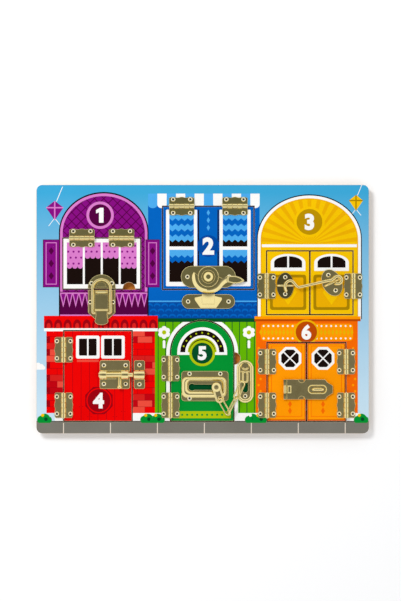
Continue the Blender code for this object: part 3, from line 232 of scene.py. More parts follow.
class Print:
    """A flat print: shape over shape, then cut to one sheet where the last one shows."""

    def __init__(self, ground, outline):
        self.shapes = []
        self.field = self.add(ground, outline)

    def add(self, ink, corners, within=None):
        """A shape in an ink, or a hole where ink is None. Within keeps it to an earlier shape."""
        if area(corners) < 0:
            corners = corners[::-1]
        self.shapes.append((ink, corners, within))
        return len(self.shapes) - 1

    def box(self, ink, left, right, low, high, within=None):
        return self.add(ink, rectangle(left, right, low, high), within)

    def dot(self, ink, x, y, radius, steps=40, squash=1.0, within=None):
        return self.add(ink, disc(x, y, radius, steps, squash), within)

    def line(self, ink, start, end, width, within=None):
        run = Vector((end[0] - start[0], end[1] - start[1]))
        across = Vector((-run.y, run.x)).normalized() * width / 2
        ends = ((start, 1), (start, -1), (end, -1), (end, 1))
        self.add(ink, [(x + side * across.x, y + side * across.y) for (x, y), side in ends], within)

    def badge(self, digit, x, y, height, *rings, aside=0.0):
        """A plain heavy numeral on round grounds, each with its ink and radius."""
        for ink, radius in rings:
            self.dot(ink, x, y, radius)
        x += aside
        if digit == "1":
            one = ((0.0, 0), (0.3, 0), (0.3, 1), (0.08, 1), (-0.2, 0.85), (-0.2, 0.62), (0.0, 0.7))
            corners = [(x + height * (px - 0.05), y + height * (py - 0.5)) for px, py in one]
            self.add("white", corners)
            return
        letter = bpy.data.curves.new("numeral", "FONT")
        letter.body = digit
        letter.offset = 0.05
        letter.resolution_u = 4
        mesh = solid_of(letter)
        xs, ys, _ = zip(*(vertex.co for vertex in mesh.vertices))
        scale = height / (max(ys) - min(ys))
        x -= scale * (max(xs) + min(xs)) / 2
        y -= scale * (max(ys) + min(ys)) / 2
        for face in mesh.polygons:
            corners = [(x + scale * xs[each], y + scale * ys[each]) for each in face.vertices]
            if abs(area(corners)) > 0.01:
                self.add("white", corners)
        bpy.data.meshes.remove(mesh)

    def shown(self, inside):
        """The ink that shows where a set of shapes lies on one another."""
        if self.field not in inside:
            return None
        for number in sorted(inside, reverse=True):
            ink, _, within = self.shapes[number]
            if within is None or within in inside:
                return ink
        return None

    def make(self, name, height, body, slot):
        """The sheet as a thin film whose skirt reaches into the wood."""
        points, loops = [], []
        for _, corners, _ in self.shapes:
            loops.append(list(range(len(points), len(points) + len(corners))))
            points += [Vector(corner) for corner in corners]
        places, _, faces, _, _, origins = delaunay_2d_cdt(points, [], loops, 4, 0.002)
        shape = bmesh.new()
        rows = [shape.verts.new(metres((*place, height + FILM))) for place in places]
        inks = []
        for face, origin in zip(faces, origins):
            ink = self.shown(set(origin))
            if ink is None:
                continue
            if ink not in inks:
                inks.append(ink)
            shape.faces.new([rows[number] for number in face]).material_index = inks.index(ink)
        loose = [vertex for vertex in shape.verts if not vertex.link_faces]
        bmesh.ops.delete(shape, geom=loose, context="VERTS")
        bmesh.ops.recalc_face_normals(shape, faces=shape.faces)
        if sum(face.normal.z for face in shape.faces) < 0:
            bmesh.ops.reverse_faces(shape, faces=shape.faces)
        flat = math.radians(0.5)
        every = {"verts": shape.verts, "edges": shape.edges}
        bmesh.ops.dissolve_limit(shape, angle_limit=flat, **every, delimit={"MATERIAL"})
        bmesh.ops.triangulate(shape, faces=shape.faces)
        rim = [edge for edge in shape.edges if edge.is_boundary]
        skirt = bmesh.ops.extrude_edge_only(shape, edges=rim)["geom"]
        lowered = [part for part in skirt if isinstance(part, bmesh.types.BMVert)]
        bmesh.ops.translate(shape, verts=lowered, vec=metres((0, 0, -2 * FILM)))
        mesh = bpy.data.meshes.new(name)
        shape.to_mesh(mesh)
        shape.free()
        for ink in inks:
            mesh.materials.append(ink_material(ink))
        made = linked(name, mesh)
        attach(made, body)


# Solids


def linked(name, data):
    made = bpy.data.objects.new(name, data)
    bpy.context.collection.objects.link(made)
    return made


def evaluated(guide):
    """The mesh that an object has once its bevels and cuts are worked out."""
    bpy.context.view_layer.update()
    graph = bpy.context.evaluated_depsgraph_get()
    return bpy.data.meshes.new_from_object(guide.evaluated_get(graph))


def solid_of(data):
    """The mesh of a curve or of a numeral."""
    guide = linked("guide", data)
    mesh = evaluated(guide)
    bpy.data.objects.remove(guide)
    bpy.data.curves.remove(data)
    return mesh


def bent(paths, closed, **settings):
    """The mesh of a curve along some paths."""
    curve = bpy.data.curves.new("path", "CURVE")
    for key, value in settings.items():
        setattr(curve, key, value)
    for points in paths:
        spline = curve.splines.new("POLY")
        spline.points.add(len(points) - 1)
        for point, place in zip(spline.points, points):
            point.co = metres(place).to_4d()
        spline.use_cyclic_u = closed
    return solid_of(curve)


def mesh_of(shape, name="piece"):
    """The mesh of a closed shape, with its faces turned outwards."""
    bmesh.ops.recalc_face_normals(shape, faces=shape.faces)
    mesh = bpy.data.meshes.new(name)
    shape.to_mesh(mesh)
    shape.free()
    return mesh


def pin(radius, low, high, lip=0.3):
    """The profile of a round bar with softened ends."""
    return [(radius - lip, low), (radius, low + lip), (radius, high - lip), (radius - lip, high)]


class Work:
    """A piece in the making: solids are added to it, then it becomes one object."""

    def __init__(self):
        self.shape = bmesh.new()
        self.finishes = []

    def take(self, mesh, finish, turn=None, second=None):
        """Adds a mesh in one finish, or two by its face numbers, and throws the mesh away."""
        self.finishes += [each for each in (finish, second) if each and each not in self.finishes]
        if turn:
            turn = turn.copy()
            turn.translation *= MM
            mesh.transform(turn)
        start = len(self.shape.faces)
        self.shape.from_mesh(mesh)
        for face in self.shape.faces[start:]:
            worn = second if second and face.material_index else finish
            face.material_index = self.finishes.index(worn)
        bpy.data.meshes.remove(mesh)

    def slab(self, outlines, low, high, finish, roll, turn=None):
        """A plate between two heights, with holes and rolled edges."""
        roll = min(roll, (high - low) * 0.45)
        mesh = bent(
            outlines,
            True,
            dimensions="2D",
            fill_mode="BOTH",
            extrude=((high - low) / 2 - roll) * MM,
            bevel_depth=roll * MM,
            bevel_resolution=2,
            offset=-roll * MM,
        )
        mesh.transform(Matrix.Translation(metres((0, 0, (low + high) / 2))))
        self.take(mesh, finish, turn)

    def tube(self, points, radius, closed=False, turn=None):
        """A round bright wire through a list of points."""
        depth = {"bevel_depth": radius * MM, "bevel_resolution": 5}
        mesh = bent([points], closed, dimensions="3D", use_fill_caps=not closed, **depth)
        self.take(mesh, "bright", turn)

    def turned(self, profile, finish, sides=40, turn=None):
        """A solid of revolution round Z, from (radius, height) pairs, closed at both ends."""
        shape = bmesh.new()
        rings = []
        for radius, height in profile:
            ring = arc((0, 0), radius, 0, 360 - 360 / sides, sides - 1) if radius else [(0, 0)]
            rings.append([shape.verts.new(metres((x, y, height))) for x, y in ring])
        for lower, upper in zip(rings, rings[1:]):
            for step in range(sides):
                after = (step + 1) % sides
                corners = []
                for ring, order in ((lower, (step, after)), (upper, (after, step))):
                    corners += [ring[i] for i in order] if len(ring) > 1 else ring
                shape.faces.new(corners)
        for ring in (rings[0], rings[-1]):
            if len(ring) > 1:
                shape.faces.new(ring)
        self.take(mesh_of(shape), finish, turn)

    def band(self, outer, inner, profiles, turn=None, ring=True):
        """A bright band between two outlines, a ring or capped at its ends.

        Each pair of points has its own profile, of shares of the way across and heights.
        """
        shape = bmesh.new()
        rows = []
        for (x1, y1), (x2, y2), profile in zip(outer, inner, profiles):
            places = [(x1 + (x2 - x1) * share, y1 + (y2 - y1) * share, z) for share, z in profile]
            rows.append([shape.verts.new(metres(place)) for place in places])
        for row, after in zip(rows, rows[1:] + rows[:1] if ring else rows[1:]):
            for number in range(len(row)):
                step = (number + 1) % len(row)
                shape.faces.new((row[number], row[step], after[step], after[number]))
        if not ring:
            shape.faces.new(rows[0][::-1])
            shape.faces.new(rows[-1])
        self.take(mesh_of(shape), "bright", turn)

    def hoop(self, outer, inner, low, rise, turn=None):
        """A closed band with a ridged back."""
        shares = [step / 14 for step in range(15)]
        ridge = [(share, low + rise * (1 - abs(2 * share - 1) ** 1.5) ** 0.75) for share in shares]
        self.band(outer, inner, [ridge] * len(outer), turn)

    def screws(self, places, low=PLATE):
        """Round-head screws whose heads lie on a plate's top, each with its cross turned anew."""
        for number, (x, y) in enumerate(places):
            turn = Matrix.Rotation(0.7 + 1.9 * number, 4, "Z")
            lift = Matrix.Translation((x, y, low - SINK))
            # The cross recess takes the near-black recess finish: painted shade in the recess
            self.take(screw_template().copy(), "screw", lift @ turn, "recess")

    def mesh(self, name):
        mesh = mesh_of(self.shape, name)
        for finish in self.finishes:
            mesh.materials.append(metal_material(finish))
        mesh.shade_smooth()
        mesh.set_sharp_from_angle(angle=math.radians(34))
        return mesh

    def make(self, node_name, at=None, body=None, turn=0.0):
        """The finished piece in place of its plain solid, riding on a body or on its own."""
        at = seat(node_name) if at is None else at
        place(self.mesh(node_name + "_finish"), node_name, at, body or node_name, turn)


def place(mesh, node_name, at, body, turn):
    made = linked(node_name + "_finish", mesh)
    made.location = metres(at)
    made.rotation_euler.z = turn
    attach(made, body)
    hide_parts(node_name)


def screw_template():
    """One domed screw head, with its recess cut by a cross."""
    if "screw_template" in bpy.data.meshes:
        return bpy.data.meshes["screw_template"]
    radius, rise, rim = 2.72, 1.25, 0.25
    angles = [math.radians(90 * step / 8) for step in range(8)]
    dome = [(radius * math.cos(angle) ** 0.8, rim + rise * math.sin(angle)) for angle in angles]
    head = Work()
    head.turned([(radius * 0.9, 0), *dome, (0, rim + rise)], "screw", 28)
    meshes = [mesh_of(head.shape)]
    for number in (0, 1):
        shape = bmesh.new()
        bmesh.ops.create_cube(shape, size=1)
        bmesh.ops.scale(shape, vec=metres((3.2, 1.15, 1.2)), verts=shape.verts)
        turn = Matrix.Rotation(number * math.pi / 2, 3, "Z")
        bmesh.ops.rotate(shape, verts=shape.verts, matrix=turn)
        bmesh.ops.translate(shape, verts=shape.verts, vec=metres((0, 0, 1.5)))
        # The cutters' faces line the recess and later get its near-black finish, which is painted
        # shade
        for face in shape.faces:
            face.material_index = 1
        meshes.append(mesh_of(shape))
    for mesh in meshes:
        mesh.materials.append(None)
        mesh.materials.append(None)
    solid, *cutters = (linked("screw_head", mesh) for mesh in meshes)
    for cutter in cutters:
        modifier = solid.modifiers.new("cross", "BOOLEAN")
        modifier.operation = "DIFFERENCE"
        modifier.object = cutter
    made = evaluated(solid)
    made.name = "screw_template"
    for old in (solid, *cutters):
        bpy.data.objects.remove(old)
    return made


# Finishes


def node(tree, kind, links=(), **values):
    """A node with its properties set, and its sockets joined to others or given a value."""
    made = tree.nodes.new(kind)
    for key, value in values.items():
        setattr(made, key, value)
    for socket, source in links:
        if hasattr(source, "is_output"):
            tree.links.new(source, made.inputs[socket])
        else:
            made.inputs[socket].default_value = source
    return made


def sums(tree, operation, *values, **more):
    """What a sum on sockets and numbers comes to."""
    return node(tree, "ShaderNodeMath", enumerate(values), operation=operation, **more).outputs[0]


def own_place(tree, stretch=(1, 1, 1)):
    """The piece's own coordinates, stretched along each axis."""
    here = node(tree, "ShaderNodeTexCoord").outputs["Object"]
    return node(tree, "ShaderNodeMapping", [("Vector", here), ("Scale", stretch)]).outputs[0]


def noise(tree, scale, detail, roughness=0.55, stretch=(1, 1, 1)):
    values = (own_place(tree, stretch), scale, detail, roughness)
    names = ("Vector", "Scale", "Detail", "Roughness")
    return node(tree, "ShaderNodeTexNoise", zip(names, values)).outputs["Fac"]


def spread(tree, value, low, high, to_low, to_high):
    names = ("Value", "From Min", "From Max", "To Min", "To Max")
    values = (value, low, high, to_low, to_high)
    return node(tree, "ShaderNodeMapRange", zip(names, values)).outputs["Result"]


def blend(tree, factor, first, second):
    """Two colours mixed."""
    inputs = ((0, factor), (6, first), (7, second))
    return node(tree, "ShaderNodeMix", inputs, data_type="RGBA").outputs[2]


def printed_paper(tree, given):
    """Ink on paper: a fine mottle, broad unevenness, and small rubbed flecks."""
    fine = noise(tree, 900, 2.0)
    both = sums(tree, "ADD", fine, noise(tree, 26, 4.0))
    centred = spread(tree, both, 0.6, 1.4, -1, 1)
    level = sums(tree, "MULTIPLY_ADD", centred, given["Mottle"], 1.0)
    inputs = [(0, given["Ink"]), ("Scale", level)]
    shaded = node(tree, "ShaderNodeVectorMath", inputs, operation="SCALE").outputs[0]
    flecks = spread(tree, noise(tree, 420, 6.0, 0.7), 0.66, 0.74, 0, 1)
    patches = spread(tree, noise(tree, 18, 2.0), 0.48, 0.62, 0, 1)
    rubbed = sums(tree, "MULTIPLY", flecks, patches)
    amount = sums(tree, "MULTIPLY", rubbed, given["Rubbing"])
    colour = blend(tree, amount, shaded, (0.85, 0.8, 0.7, 1))
    uneven = spread(tree, both, 0.6, 1.4, -0.06, 0.08)
    return colour, sums(tree, "ADD", uneven, given["Gloss"]), fine


def wood_grain(tree, given):
    """Plywood: long fibres along X, pores, and the plies one above another at the edge."""
    fibres = noise(tree, 1.0, 6.0, 0.62, (14, 420, 420))
    pores = spread(tree, noise(tree, 1.0, 2.0, stretch=(60, 1500, 1500)), 0.6, 0.72, 0, 1)
    waves = sums(tree, "MULTIPLY", given["Plies"], 0.146)
    inputs = [("Vector", own_place(tree)), ("Scale", waves), ("Distortion", 1.2)]
    inputs += [("Detail", 2.0), ("Detail Scale", 2.0)]
    layers = node(tree, "ShaderNodeTexWave", inputs, wave_type="BANDS", bands_direction="Z")
    facing = node(tree, "ShaderNodeNewGeometry").outputs["Normal"]
    upright = node(tree, "ShaderNodeSeparateXYZ", [(0, facing)]).outputs["Z"]
    side = sums(tree, "SUBTRACT", 1.0, sums(tree, "ABSOLUTE", upright))
    plies = sums(tree, "MULTIPLY", layers.outputs["Fac"], side)
    streaks = spread(tree, fibres, 0.3, 0.7, 0, 0.6)
    mixed = sums(tree, "MULTIPLY_ADD", plies, given["Contrast"], streaks)
    dark = sums(tree, "MULTIPLY_ADD", pores, 0.3, mixed)
    colour = blend(tree, dark, given["Light"], given["Dark"])
    return colour, spread(tree, fibres, 0.3, 0.7, 0.5, 0.72), fibres


def plated_metal(tree, given):
    """Bright plating: brushed lines, cloudy tarnish and small pits."""
    brushed = noise(tree, 1.0, 3.0, stretch=(260, 3600, 260))
    cloud = spread(tree, noise(tree, 95, 4.0), 0.42, 0.68, 0, 1)
    pits = spread(tree, noise(tree, 1500, 2.0), 0.68, 0.76, 0, 1)
    aged = sums(tree, "MULTIPLY", cloud, given["Age"])
    worn = sums(tree, "MULTIPLY_ADD", pits, 0.35, aged, use_clamp=True)
    lines = spread(tree, brushed, 0.3, 0.7, -0.03, 0.05)
    rough = sums(tree, "ADD", lines, given["Polish"])
    colour = blend(tree, worn, given["Bright"], given["Tarnish"])
    return colour, sums(tree, "MULTIPLY_ADD", worn, 0.1, rough), brushed


# Each effect, with its inputs and what they are unless a material says more
EFFECTS = {
    "Printed Paper": (
        printed_paper,
        {"Ink": (0.8, 0.8, 0.8, 1), "Mottle": 0.08, "Rubbing": 0.12, "Gloss": 0.42},
    ),
    "Wood Grain": (
        wood_grain,
        {
            "Light": (0.7, 0.5, 0.3, 1),
            "Dark": (0.4, 0.24, 0.12, 1),
            "Plies": 560.0,
            "Contrast": 0.6,
        },
    ),
    "Plated Metal": (
        plated_metal,
        {"Bright": (0.9, 0.7, 0.4, 1), "Tarnish": (0.5, 0.38, 0.2, 1), "Polish": 0.24, "Age": 0.4},
    ),
}


def shared_group(name):
    """An effect as a group that gives a colour, a roughness and a height, built once."""
    if name in bpy.data.node_groups:
        return bpy.data.node_groups[name]
    effect, inputs = EFFECTS[name]
    outputs = {"Color": (0, 0, 0, 1), "Roughness": 0.5, "Height": 0.0}
    tree = bpy.data.node_groups.new(name, "ShaderNodeTree")
    for direction, sockets in (("INPUT", inputs), ("OUTPUT", outputs)):
        for label, default in sockets.items():
            kind = "NodeSocketColor" if isinstance(default, tuple) else "NodeSocketFloat"
            made = tree.interface.new_socket(name=label, in_out=direction, socket_type=kind)
            made.default_value = default
    results = effect(tree, node(tree, "NodeGroupInput").outputs)
    node(tree, "NodeGroupOutput", zip(outputs, results))
    return tree


def effect_material(name, effect, values, bump, distance=0.2, metallic=0.0, shine=0.5):
    """A material whose colour, roughness and relief come from a shared group, built once.

    A value that is a function makes a socket of its own.
    """
    if name in bpy.data.materials:
        return bpy.data.materials[name]
    material = bpy.data.materials.new(name)
    material.use_nodes = True
    tree = material.node_tree
    shader = tree.nodes["Principled BSDF"]
    shader.inputs["Metallic"].default_value = metallic
    shader.inputs["Specular IOR Level"].default_value = shine
    worn = node(tree, "ShaderNodeGroup", node_tree=shared_group(effect))
    for key, value in values.items():
        if callable(value):
            tree.links.new(value(tree), worn.inputs[key])
        else:
            worn.inputs[key].default_value = value
    height = worn.outputs["Height"]
    inputs = [("Height", height), ("Strength", bump), ("Distance", distance * MM)]
    relief = node(tree, "ShaderNodeBump", inputs)
    tree.links.new(worn.outputs["Color"], shader.inputs["Base Color"])
    tree.links.new(worn.outputs["Roughness"], shader.inputs["Roughness"])
    tree.links.new(relief.outputs["Normal"], shader.inputs["Normal"])
    return material


def sky_colour(tree):
    """The sky, paler towards the pavement."""
    paint = bpy.context.scene.latch_board_paint
    here = node(tree, "ShaderNodeTexCoord").outputs["Object"]
    height = node(tree, "ShaderNodeSeparateXYZ", [(0, here)]).outputs["Y"]
    rise = spread(tree, height, -0.12, 0.14, 0, 1)
    return blend(tree, rise, (*paint.sky_low, 1), (*paint.sky_high, 1))


def ink_material(ink):
    if ink == "sky":
        values = {"Ink": sky_colour, "Mottle": 0.03}
    else:
        colour = getattr(bpy.context.scene.latch_board_paint, ink, None) or INKS[ink]
        values = {"Ink": (*colour, 1)}
    return effect_material("ink_" + ink, "Printed Paper", values, 0.05, shine=0.05)


# Finish: roughness, tarnish, and the share of the plating's colour
METALS = {
    "plate": (0.09, 0.25, 1.0),
    "bright": (0.12, 0.08, 1.0),
    "screw": (0.13, 0.08, 1.0),
    "strap": (0.11, 0.4, 0.9),
    "dark": (0.09, 0.6, 0.42),
}


def metal_material(finish):
    name = "metal_" + finish
    # The screws' cross recess gets a near-black colour: painted shade in the recess
    if finish == "recess":
        values = {"Bright": (0.05, 0.035, 0.015, 1), "Tarnish": (0.02, 0.015, 0.008, 1)}
        values["Polish"] = 0.5
        return effect_material(name, "Plated Metal", values, 0.1, metallic=0.6)
    metal = bpy.context.scene.latch_board_metal
    polish, age, share = METALS[finish]
    # Screw heads and pins take the paler screw colour, which brightens their rings: painted
    # highlight
    clean = metal.screw if finish == "screw" else metal.bright
    values = {
        "Bright": (*(level * share for level in clean), 1),
        "Tarnish": (*(level * share for level in metal.tarnish), 1),
        "Polish": polish + metal.dullness,
        "Age": age,
    }
    return effect_material(name, "Plated Metal", values, 0.02, metallic=1.0)


def wood_material():
    paint = bpy.context.scene.latch_board_paint
    values = {"Light": (*paint.wood_light, 1), "Dark": (*paint.wood_dark, 1)}
    return effect_material("raw_plywood", "Wood Grain", values, 0.25, 0.1)


# Settings


def colour_setting(name, description, default):
    more = {"subtype": "COLOR", "size": 3, "min": 0, "max": 1, "default": default}
    return bpy.props.FloatVectorProperty(name=name, description=description, **more)


def number_setting(name, description, default, low, high, **more):
    more |= {"default": default, "min": low, "max": high}
    return bpy.props.FloatProperty(name=name, description=description, **more)


def length_setting(name, description, default, low, high):
    return number_setting(name, description, default, low, high, unit="LENGTH", precision=5)


class LatchBoardPaint(bpy.types.PropertyGroup):
    """Colours of the prints and of the wood."""

    purple: colour_setting("Purple", "Ground of window 1", INKS["purple"])
    blue: colour_setting("Blue", "Ground of window 2", INKS["blue"])
    yellow: colour_setting("Yellow", "Ground of doors 3", INKS["yellow"])
    red: colour_setting("Red", "Ground of door 4", INKS["red"])
    green: colour_setting("Green", "Ground of door 5", INKS["green"])
    tangerine: colour_setting("Orange", "Ground of doors 6", INKS["tangerine"])
    sky_high: colour_setting("Upper sky", "Sky at the board's top edge", (0.042, 0.35, 0.61))
    sky_low: colour_setting("Lower sky", "Sky near the pavement", (0.52, 0.69, 0.80))
    wood_light: colour_setting("Light wood", "Light fibres of the plywood", (0.70, 0.55, 0.38))
    wood_dark: colour_setting("Dark wood", "Dark fibres of the plywood", (0.37, 0.24, 0.13))


class LatchBoardMetal(bpy.types.PropertyGroup):
    """Finish of the catches."""

    bright: colour_setting("Plating", "Colour of the clean plating", (0.95, 0.80, 0.37))
    # The screws' paler colour brightens the heads' rings: painted highlight
    screw: colour_setting("Screws", "Colour of the clean screw heads", (1.0, 0.94, 0.68))
    tarnish: colour_setting("Tarnish", "Colour of the duller patches", (0.62, 0.48, 0.19))
    dullness: number_setting("Dullness", "Added to every catch's roughness", 0.0, 0.0, 0.5)
    loop_wire: length_setting("Loop wire", "Radius of the draw loop", 0.00165, 0.001, 0.0017)
    hook_wire: length_setting("Hook wire", "Radius of the hook's wire", 0.0018, 0.001, 0.0018)
    link_wire: length_setting("Link wire", "Radius of the links' wire", 0.00094, 0.0007, 0.001)


class LatchBoardStage(bpy.types.PropertyGroup):
    """Camera and light."""

    camera_height: length_setting("Camera height", "Height over the table", 1.7195, 0.5, 5.0)
    key_power: number_setting("Key light", "Power of the large lamp", 15.0, 0.0, 200.0)
    room: number_setting("Room light", "Strength of the light from all round", 0.82, 0.0, 3.0)


# Prints


def notch(name, radius):
    """The round finger notch at window 1's lower edge or beside door 5."""
    _, right, low, _ = millimetres(name)
    x, y = (right - 13.5, low + 0.2) if name == "window_1" else (right + 1.1, low + 75)
    return disc(x, y, radius)


def leaf_outline(name, grow):
    """A leaf's outline, or with grow the outline of its opening."""
    left, right, low, high = millimetres(name)
    left, right, low, high = left - grow, right + grow, low - grow, high + grow
    if name == "door_5":
        return arched(left, right, low, high - (right - left) / 2)
    return rectangle(left, right, low, high)


def openings(grow):
    """The outlines of the six openings, larger by grow."""
    outlines = {}
    for name in ("window_1", "window_2", "door_4", "door_5"):
        outlines[name] = leaf_outline(name, grow)
    for name in ("door_3", "door_6"):
        left, _, low, high = millimetres(name + "_left")
        right = millimetres(name + "_right")[1]
        outlines[name] = rectangle(left - grow, right + grow, low - grow, high + grow)
    return outlines


def cloud(sheet, x, y, size):
    puffs = ((-1, 0, 0.62), (-0.25, 0.45, 0.8), (0.65, 0.2, 0.68), (1.25, -0.1, 0.45))
    for dx, dy, radius in puffs:
        sheet.dot("white", x + dx * size, y + dy * size, radius * size, 28)
    sheet.add("white", rounded(x - 1.5 * size, x + 1.6 * size, y - 0.62 * size, y, 0.3 * size))


def kite(sheet, ink, band, x, y, size):
    """A kite on a white string."""

    def at(across, up):
        return (x + across * size, y + up * size)

    sheet.line("white", at(0.2, 0.9), at(0.9, 2.6), 0.8)
    for side in (-1, 1):
        sheet.line("white", at(0, -1), at(side * 0.7, -1.9), 0.7)
    sheet.add(ink, [at(0, -1.25), at(1, 0.2), at(0, 1), at(-1, 0.2)])
    sheet.line(band, at(-0.98, 0.2), at(0.98, 0.2), 1.6)
    sheet.line(band, at(0, -1.2), at(0, 0.95), 1.6)


def draw_purple_field(sheet):
    for ink, inset, spring in (("night", 0, 92.4), ("lilac", 1.5, 92), ("purple", 4.5, 91.5)):
        field = sheet.add(ink, arched(-173 + inset, -65 - inset, -10.6, spring, 0.9))
    for step in range(-12, 14):
        x = -119 + step * 11
        for side in (-80, 80):
            sheet.line("deep_purple", (x + side, 20), (x - side, 180), 1.0, field)
    for left, right in ((-191.5, -173), (-68, -52.5)):
        for ink, inset in (("deep_purple", -0.8), ("purple", 0), ("lilac", 2.6), ("purple", 3.6)):
            sheet.box(ink, left + inset, right - inset, 27 + inset, 83 - inset)
        for y in (40, 55, 70):
            sheet.add("deep_purple", star((left + right) / 2, y, 4.6, 3.2, 2))
    sheet.box("deep_purple", -171.5, -66.5, -10.6, 21)
    for number in range(14):
        x = -171.5 + 7.5 * number
        sheet.add("lilac", [(x, 17.5), (x + 3.75, 2), (x + 7.5, 17.5), (x + 7.5, 20), (x, 20)])
        sheet.add("purple", [(x + 1.1, 18.4), (x + 3.75, 6.4), (x + 6.4, 18.4)])
    sheet.box("lilac", -171.5, -66.5, -10.6, -6.5)
    sheet.badge("1", -123.4, 113, 18, ("lilac", 16.5), ("deep_purple", 13.2), aside=-0.4)


def draw_blue_field(sheet):
    field = sheet.box("blue", -65.7, 68.5, -12, 131)
    sheet.box("deep_blue", -65.7, 68.5, -12, 9.5)
    for row in range(3):
        for number in range(15):
            x = -64 + 9.2 * number + (4.6 if row % 2 else 0)
            sheet.dot("blue", x, -8.6 + 6.4 * row, 4.0, 20, 0.72, field)
            sheet.dot("deep_blue", x, -10.2 + 6.4 * row, 3.2, 18, 0.72, field)
    sheet.box("pale_blue", -65.7, 68.5, 8.6, 10.2)
    for number in range(12):
        x = -65.7 + 11.19 * number
        ink = "white" if number % 2 else "pale_blue"
        sheet.add(ink, arched(x, x + 11.19, 139, 126, -0.8, 14))


def draw_yellow_field(sheet):
    edges = (("night", 0, 84.4), ("white", 1.1, 84), ("gold", 4.6, 83.6), ("yellow", 6, 83.4))
    for ink, inset, spring in edges:
        field = sheet.add(ink, arched(65.2 + inset, 191.6 - inset, -12, spring, 0.85))
    sun = (128.5, 78)
    for number in range(15):
        angle = 6 + 12 * number
        sheet.add("gold", [sun, *arc(sun, 80, angle - 2.6, angle + 2.6, 1)], field)
    sheet.box("yellow", 71.2, 185.6, 60, 78, field)
    sheet.box("white", 71.2, 185.6, 74.6, 78, field)
    sheet.box("gold", 71.2, 185.6, -12, -8.6)
    sheet.badge("3", 128.5, 105, 20, ("yellow", 18.5), ("amber", 15.5))


def draw_red_field(sheet):
    sheet.box("deep_red", -188, -57.3, -125, -26)
    inks = "red coral red scarlet brick red scarlet coral red brick red".split()
    for row in range(13):
        low = -125 + 7.7 * row
        for number in range(8):
            x = -192.5 + 17.6 * number + (8.8 if row % 2 else 0)
            ink = inks[(row * 5 + number * 3) % len(inks)]
            sheet.box(ink, max(x, -188), min(x + 17.2, -57.3), low, low + 7.3)
    sheet.box("red", -191, -54, -23.5, -8)
    for number in range(12):
        x = -191 + 11.42 * number
        sheet.add("deep_red", arched(x + 1, x + 10.42, -23.5, -19, 1.4, 16))
        sheet.add("scarlet", arched(x + 3.4, x + 8.02, -23.5, -19.9, 1.4, 14))
    sheet.box("white", -191, -54, -26.6, -23)


def draw_green_field(sheet):
    field = sheet.box("leaf", -57.3, 64, -134.4, -12)
    for number in range(14):
        x = -54 + 8.9 * number
        sheet.box("deep_green", x, x + 0.9, -125.5, -12, field)
    left, right, _, high = millimetres("door_5")
    spring = high - (right - left) / 2
    sheet.add("white", arched(left - 5.6, right + 5.6, -134.4, spring, 1.0, 48), field)
    # Painted shade: a deep green patch under the anchor's window, so the wood seen through it looks
    # shaded
    left, right, low, high = millimetres("chain_anchor")
    sheet.box("deep_green", left + 6, right - 6, low + 11, high - 14)
    sheet.box("deep_green", -61, 66.3, -15.4, -11)
    for x in (-46.4, 55.6):
        for place_at in arc((x, -28), 4.6, 30, 330, 5):
            sheet.dot("white", *place_at, 3.1, 18)
        sheet.dot("lime", x, -28, 2.6, 18)
        sheet.add("white", rounded(x - 1.6, x + 1.6, -47, -37.5, 1.2))


def draw_orange_field(sheet):
    sheet.box("orange", 64, 186.7, -125.5, -10)
    sheet.box("rust", 62.5, 190, -14.6, -12)
    sheet.box("tangerine", 62.5, 190, -12, -8.6)
    sheet.add("tangerine", rounded(70, 181, -38, -17.5, 4))
    for number in range(19):
        for y in (-20.3, -35.2):
            sheet.dot("white", 73.4 + 5.8 * number, y, 1.15, 12)
    for number in range(9):
        for side in (-1, 1):
            x = 124.8 + side * (18 + 4.6 * number)
            sheet.add("gold", star(x, -27.8, 3.9, 1.9, 2))
    sheet.badge("6", 124.8, -27.6, 18.5, ("gold", 15), ("rust", 12.8))
    for row in range(11):
        for x in (68.5, 182.2):
            sheet.dot("tangerine", x + (1.2 if row % 2 else -1.2), -47 - 7.4 * row, 1.5, 12)


def draw_ground(sheet):
    sheet.box("white", -178, 190, -134.6, -125)
    sheet.box("stone", -200, 200, -150, -134.4)
    sheet.box("deep_stone", -200, 200, -135.6, -134.4)
    for x in (-190, -66, -54, 60, 69, 191):
        for dx, radius in ((-4.6, 4.6), (4.4, 4.2), (0, 6.6)):
            sheet.dot("green", x + dx, -134.6 + radius * 0.35, radius, 24)
        sheet.dot("deep_green", x + 1.4, -132.4, 2.2, 16)
        sheet.dot("yellow" if x % 4 else "white", x - 2.6, -127.6, 1.9, 16)
    sheet.box("stone", -200, 200, -150, -136.9)
    for number in range(7):
        x = -168 + 56.5 * number
        sheet.box("sand", x, x + 1.1, -150, -136.9)


def draw_window_1(sheet, left, right, low, high):
    sheet.box("white", left, right, low, high)
    width = (right - left - 8.4 - 3 * 2.4) / 4
    for number in range(4):
        x = left + 4.2 + number * (width + 2.4)
        pane = sheet.box("night", x, x + width, low + 5.2, high - 4.6)
        foot = high - (33 if number in (0, 3) else 21)
        sheet.box("lilac", x, x + width, foot, high - 4.6, pane)
        for step in range(3):
            sheet.dot("lilac", x + width * (step + 0.5) / 3, foot, width / 6, 16, within=pane)
        for row in range(4):
            y = high - 8.5 - 7.2 * row
            for step in range(3 if y > foot - 1 else 0):
                across = x + width * (step + (0.25 if row % 2 else 0.7)) / 3
                sheet.dot("purple", across, y, 1.3, 12, within=pane)


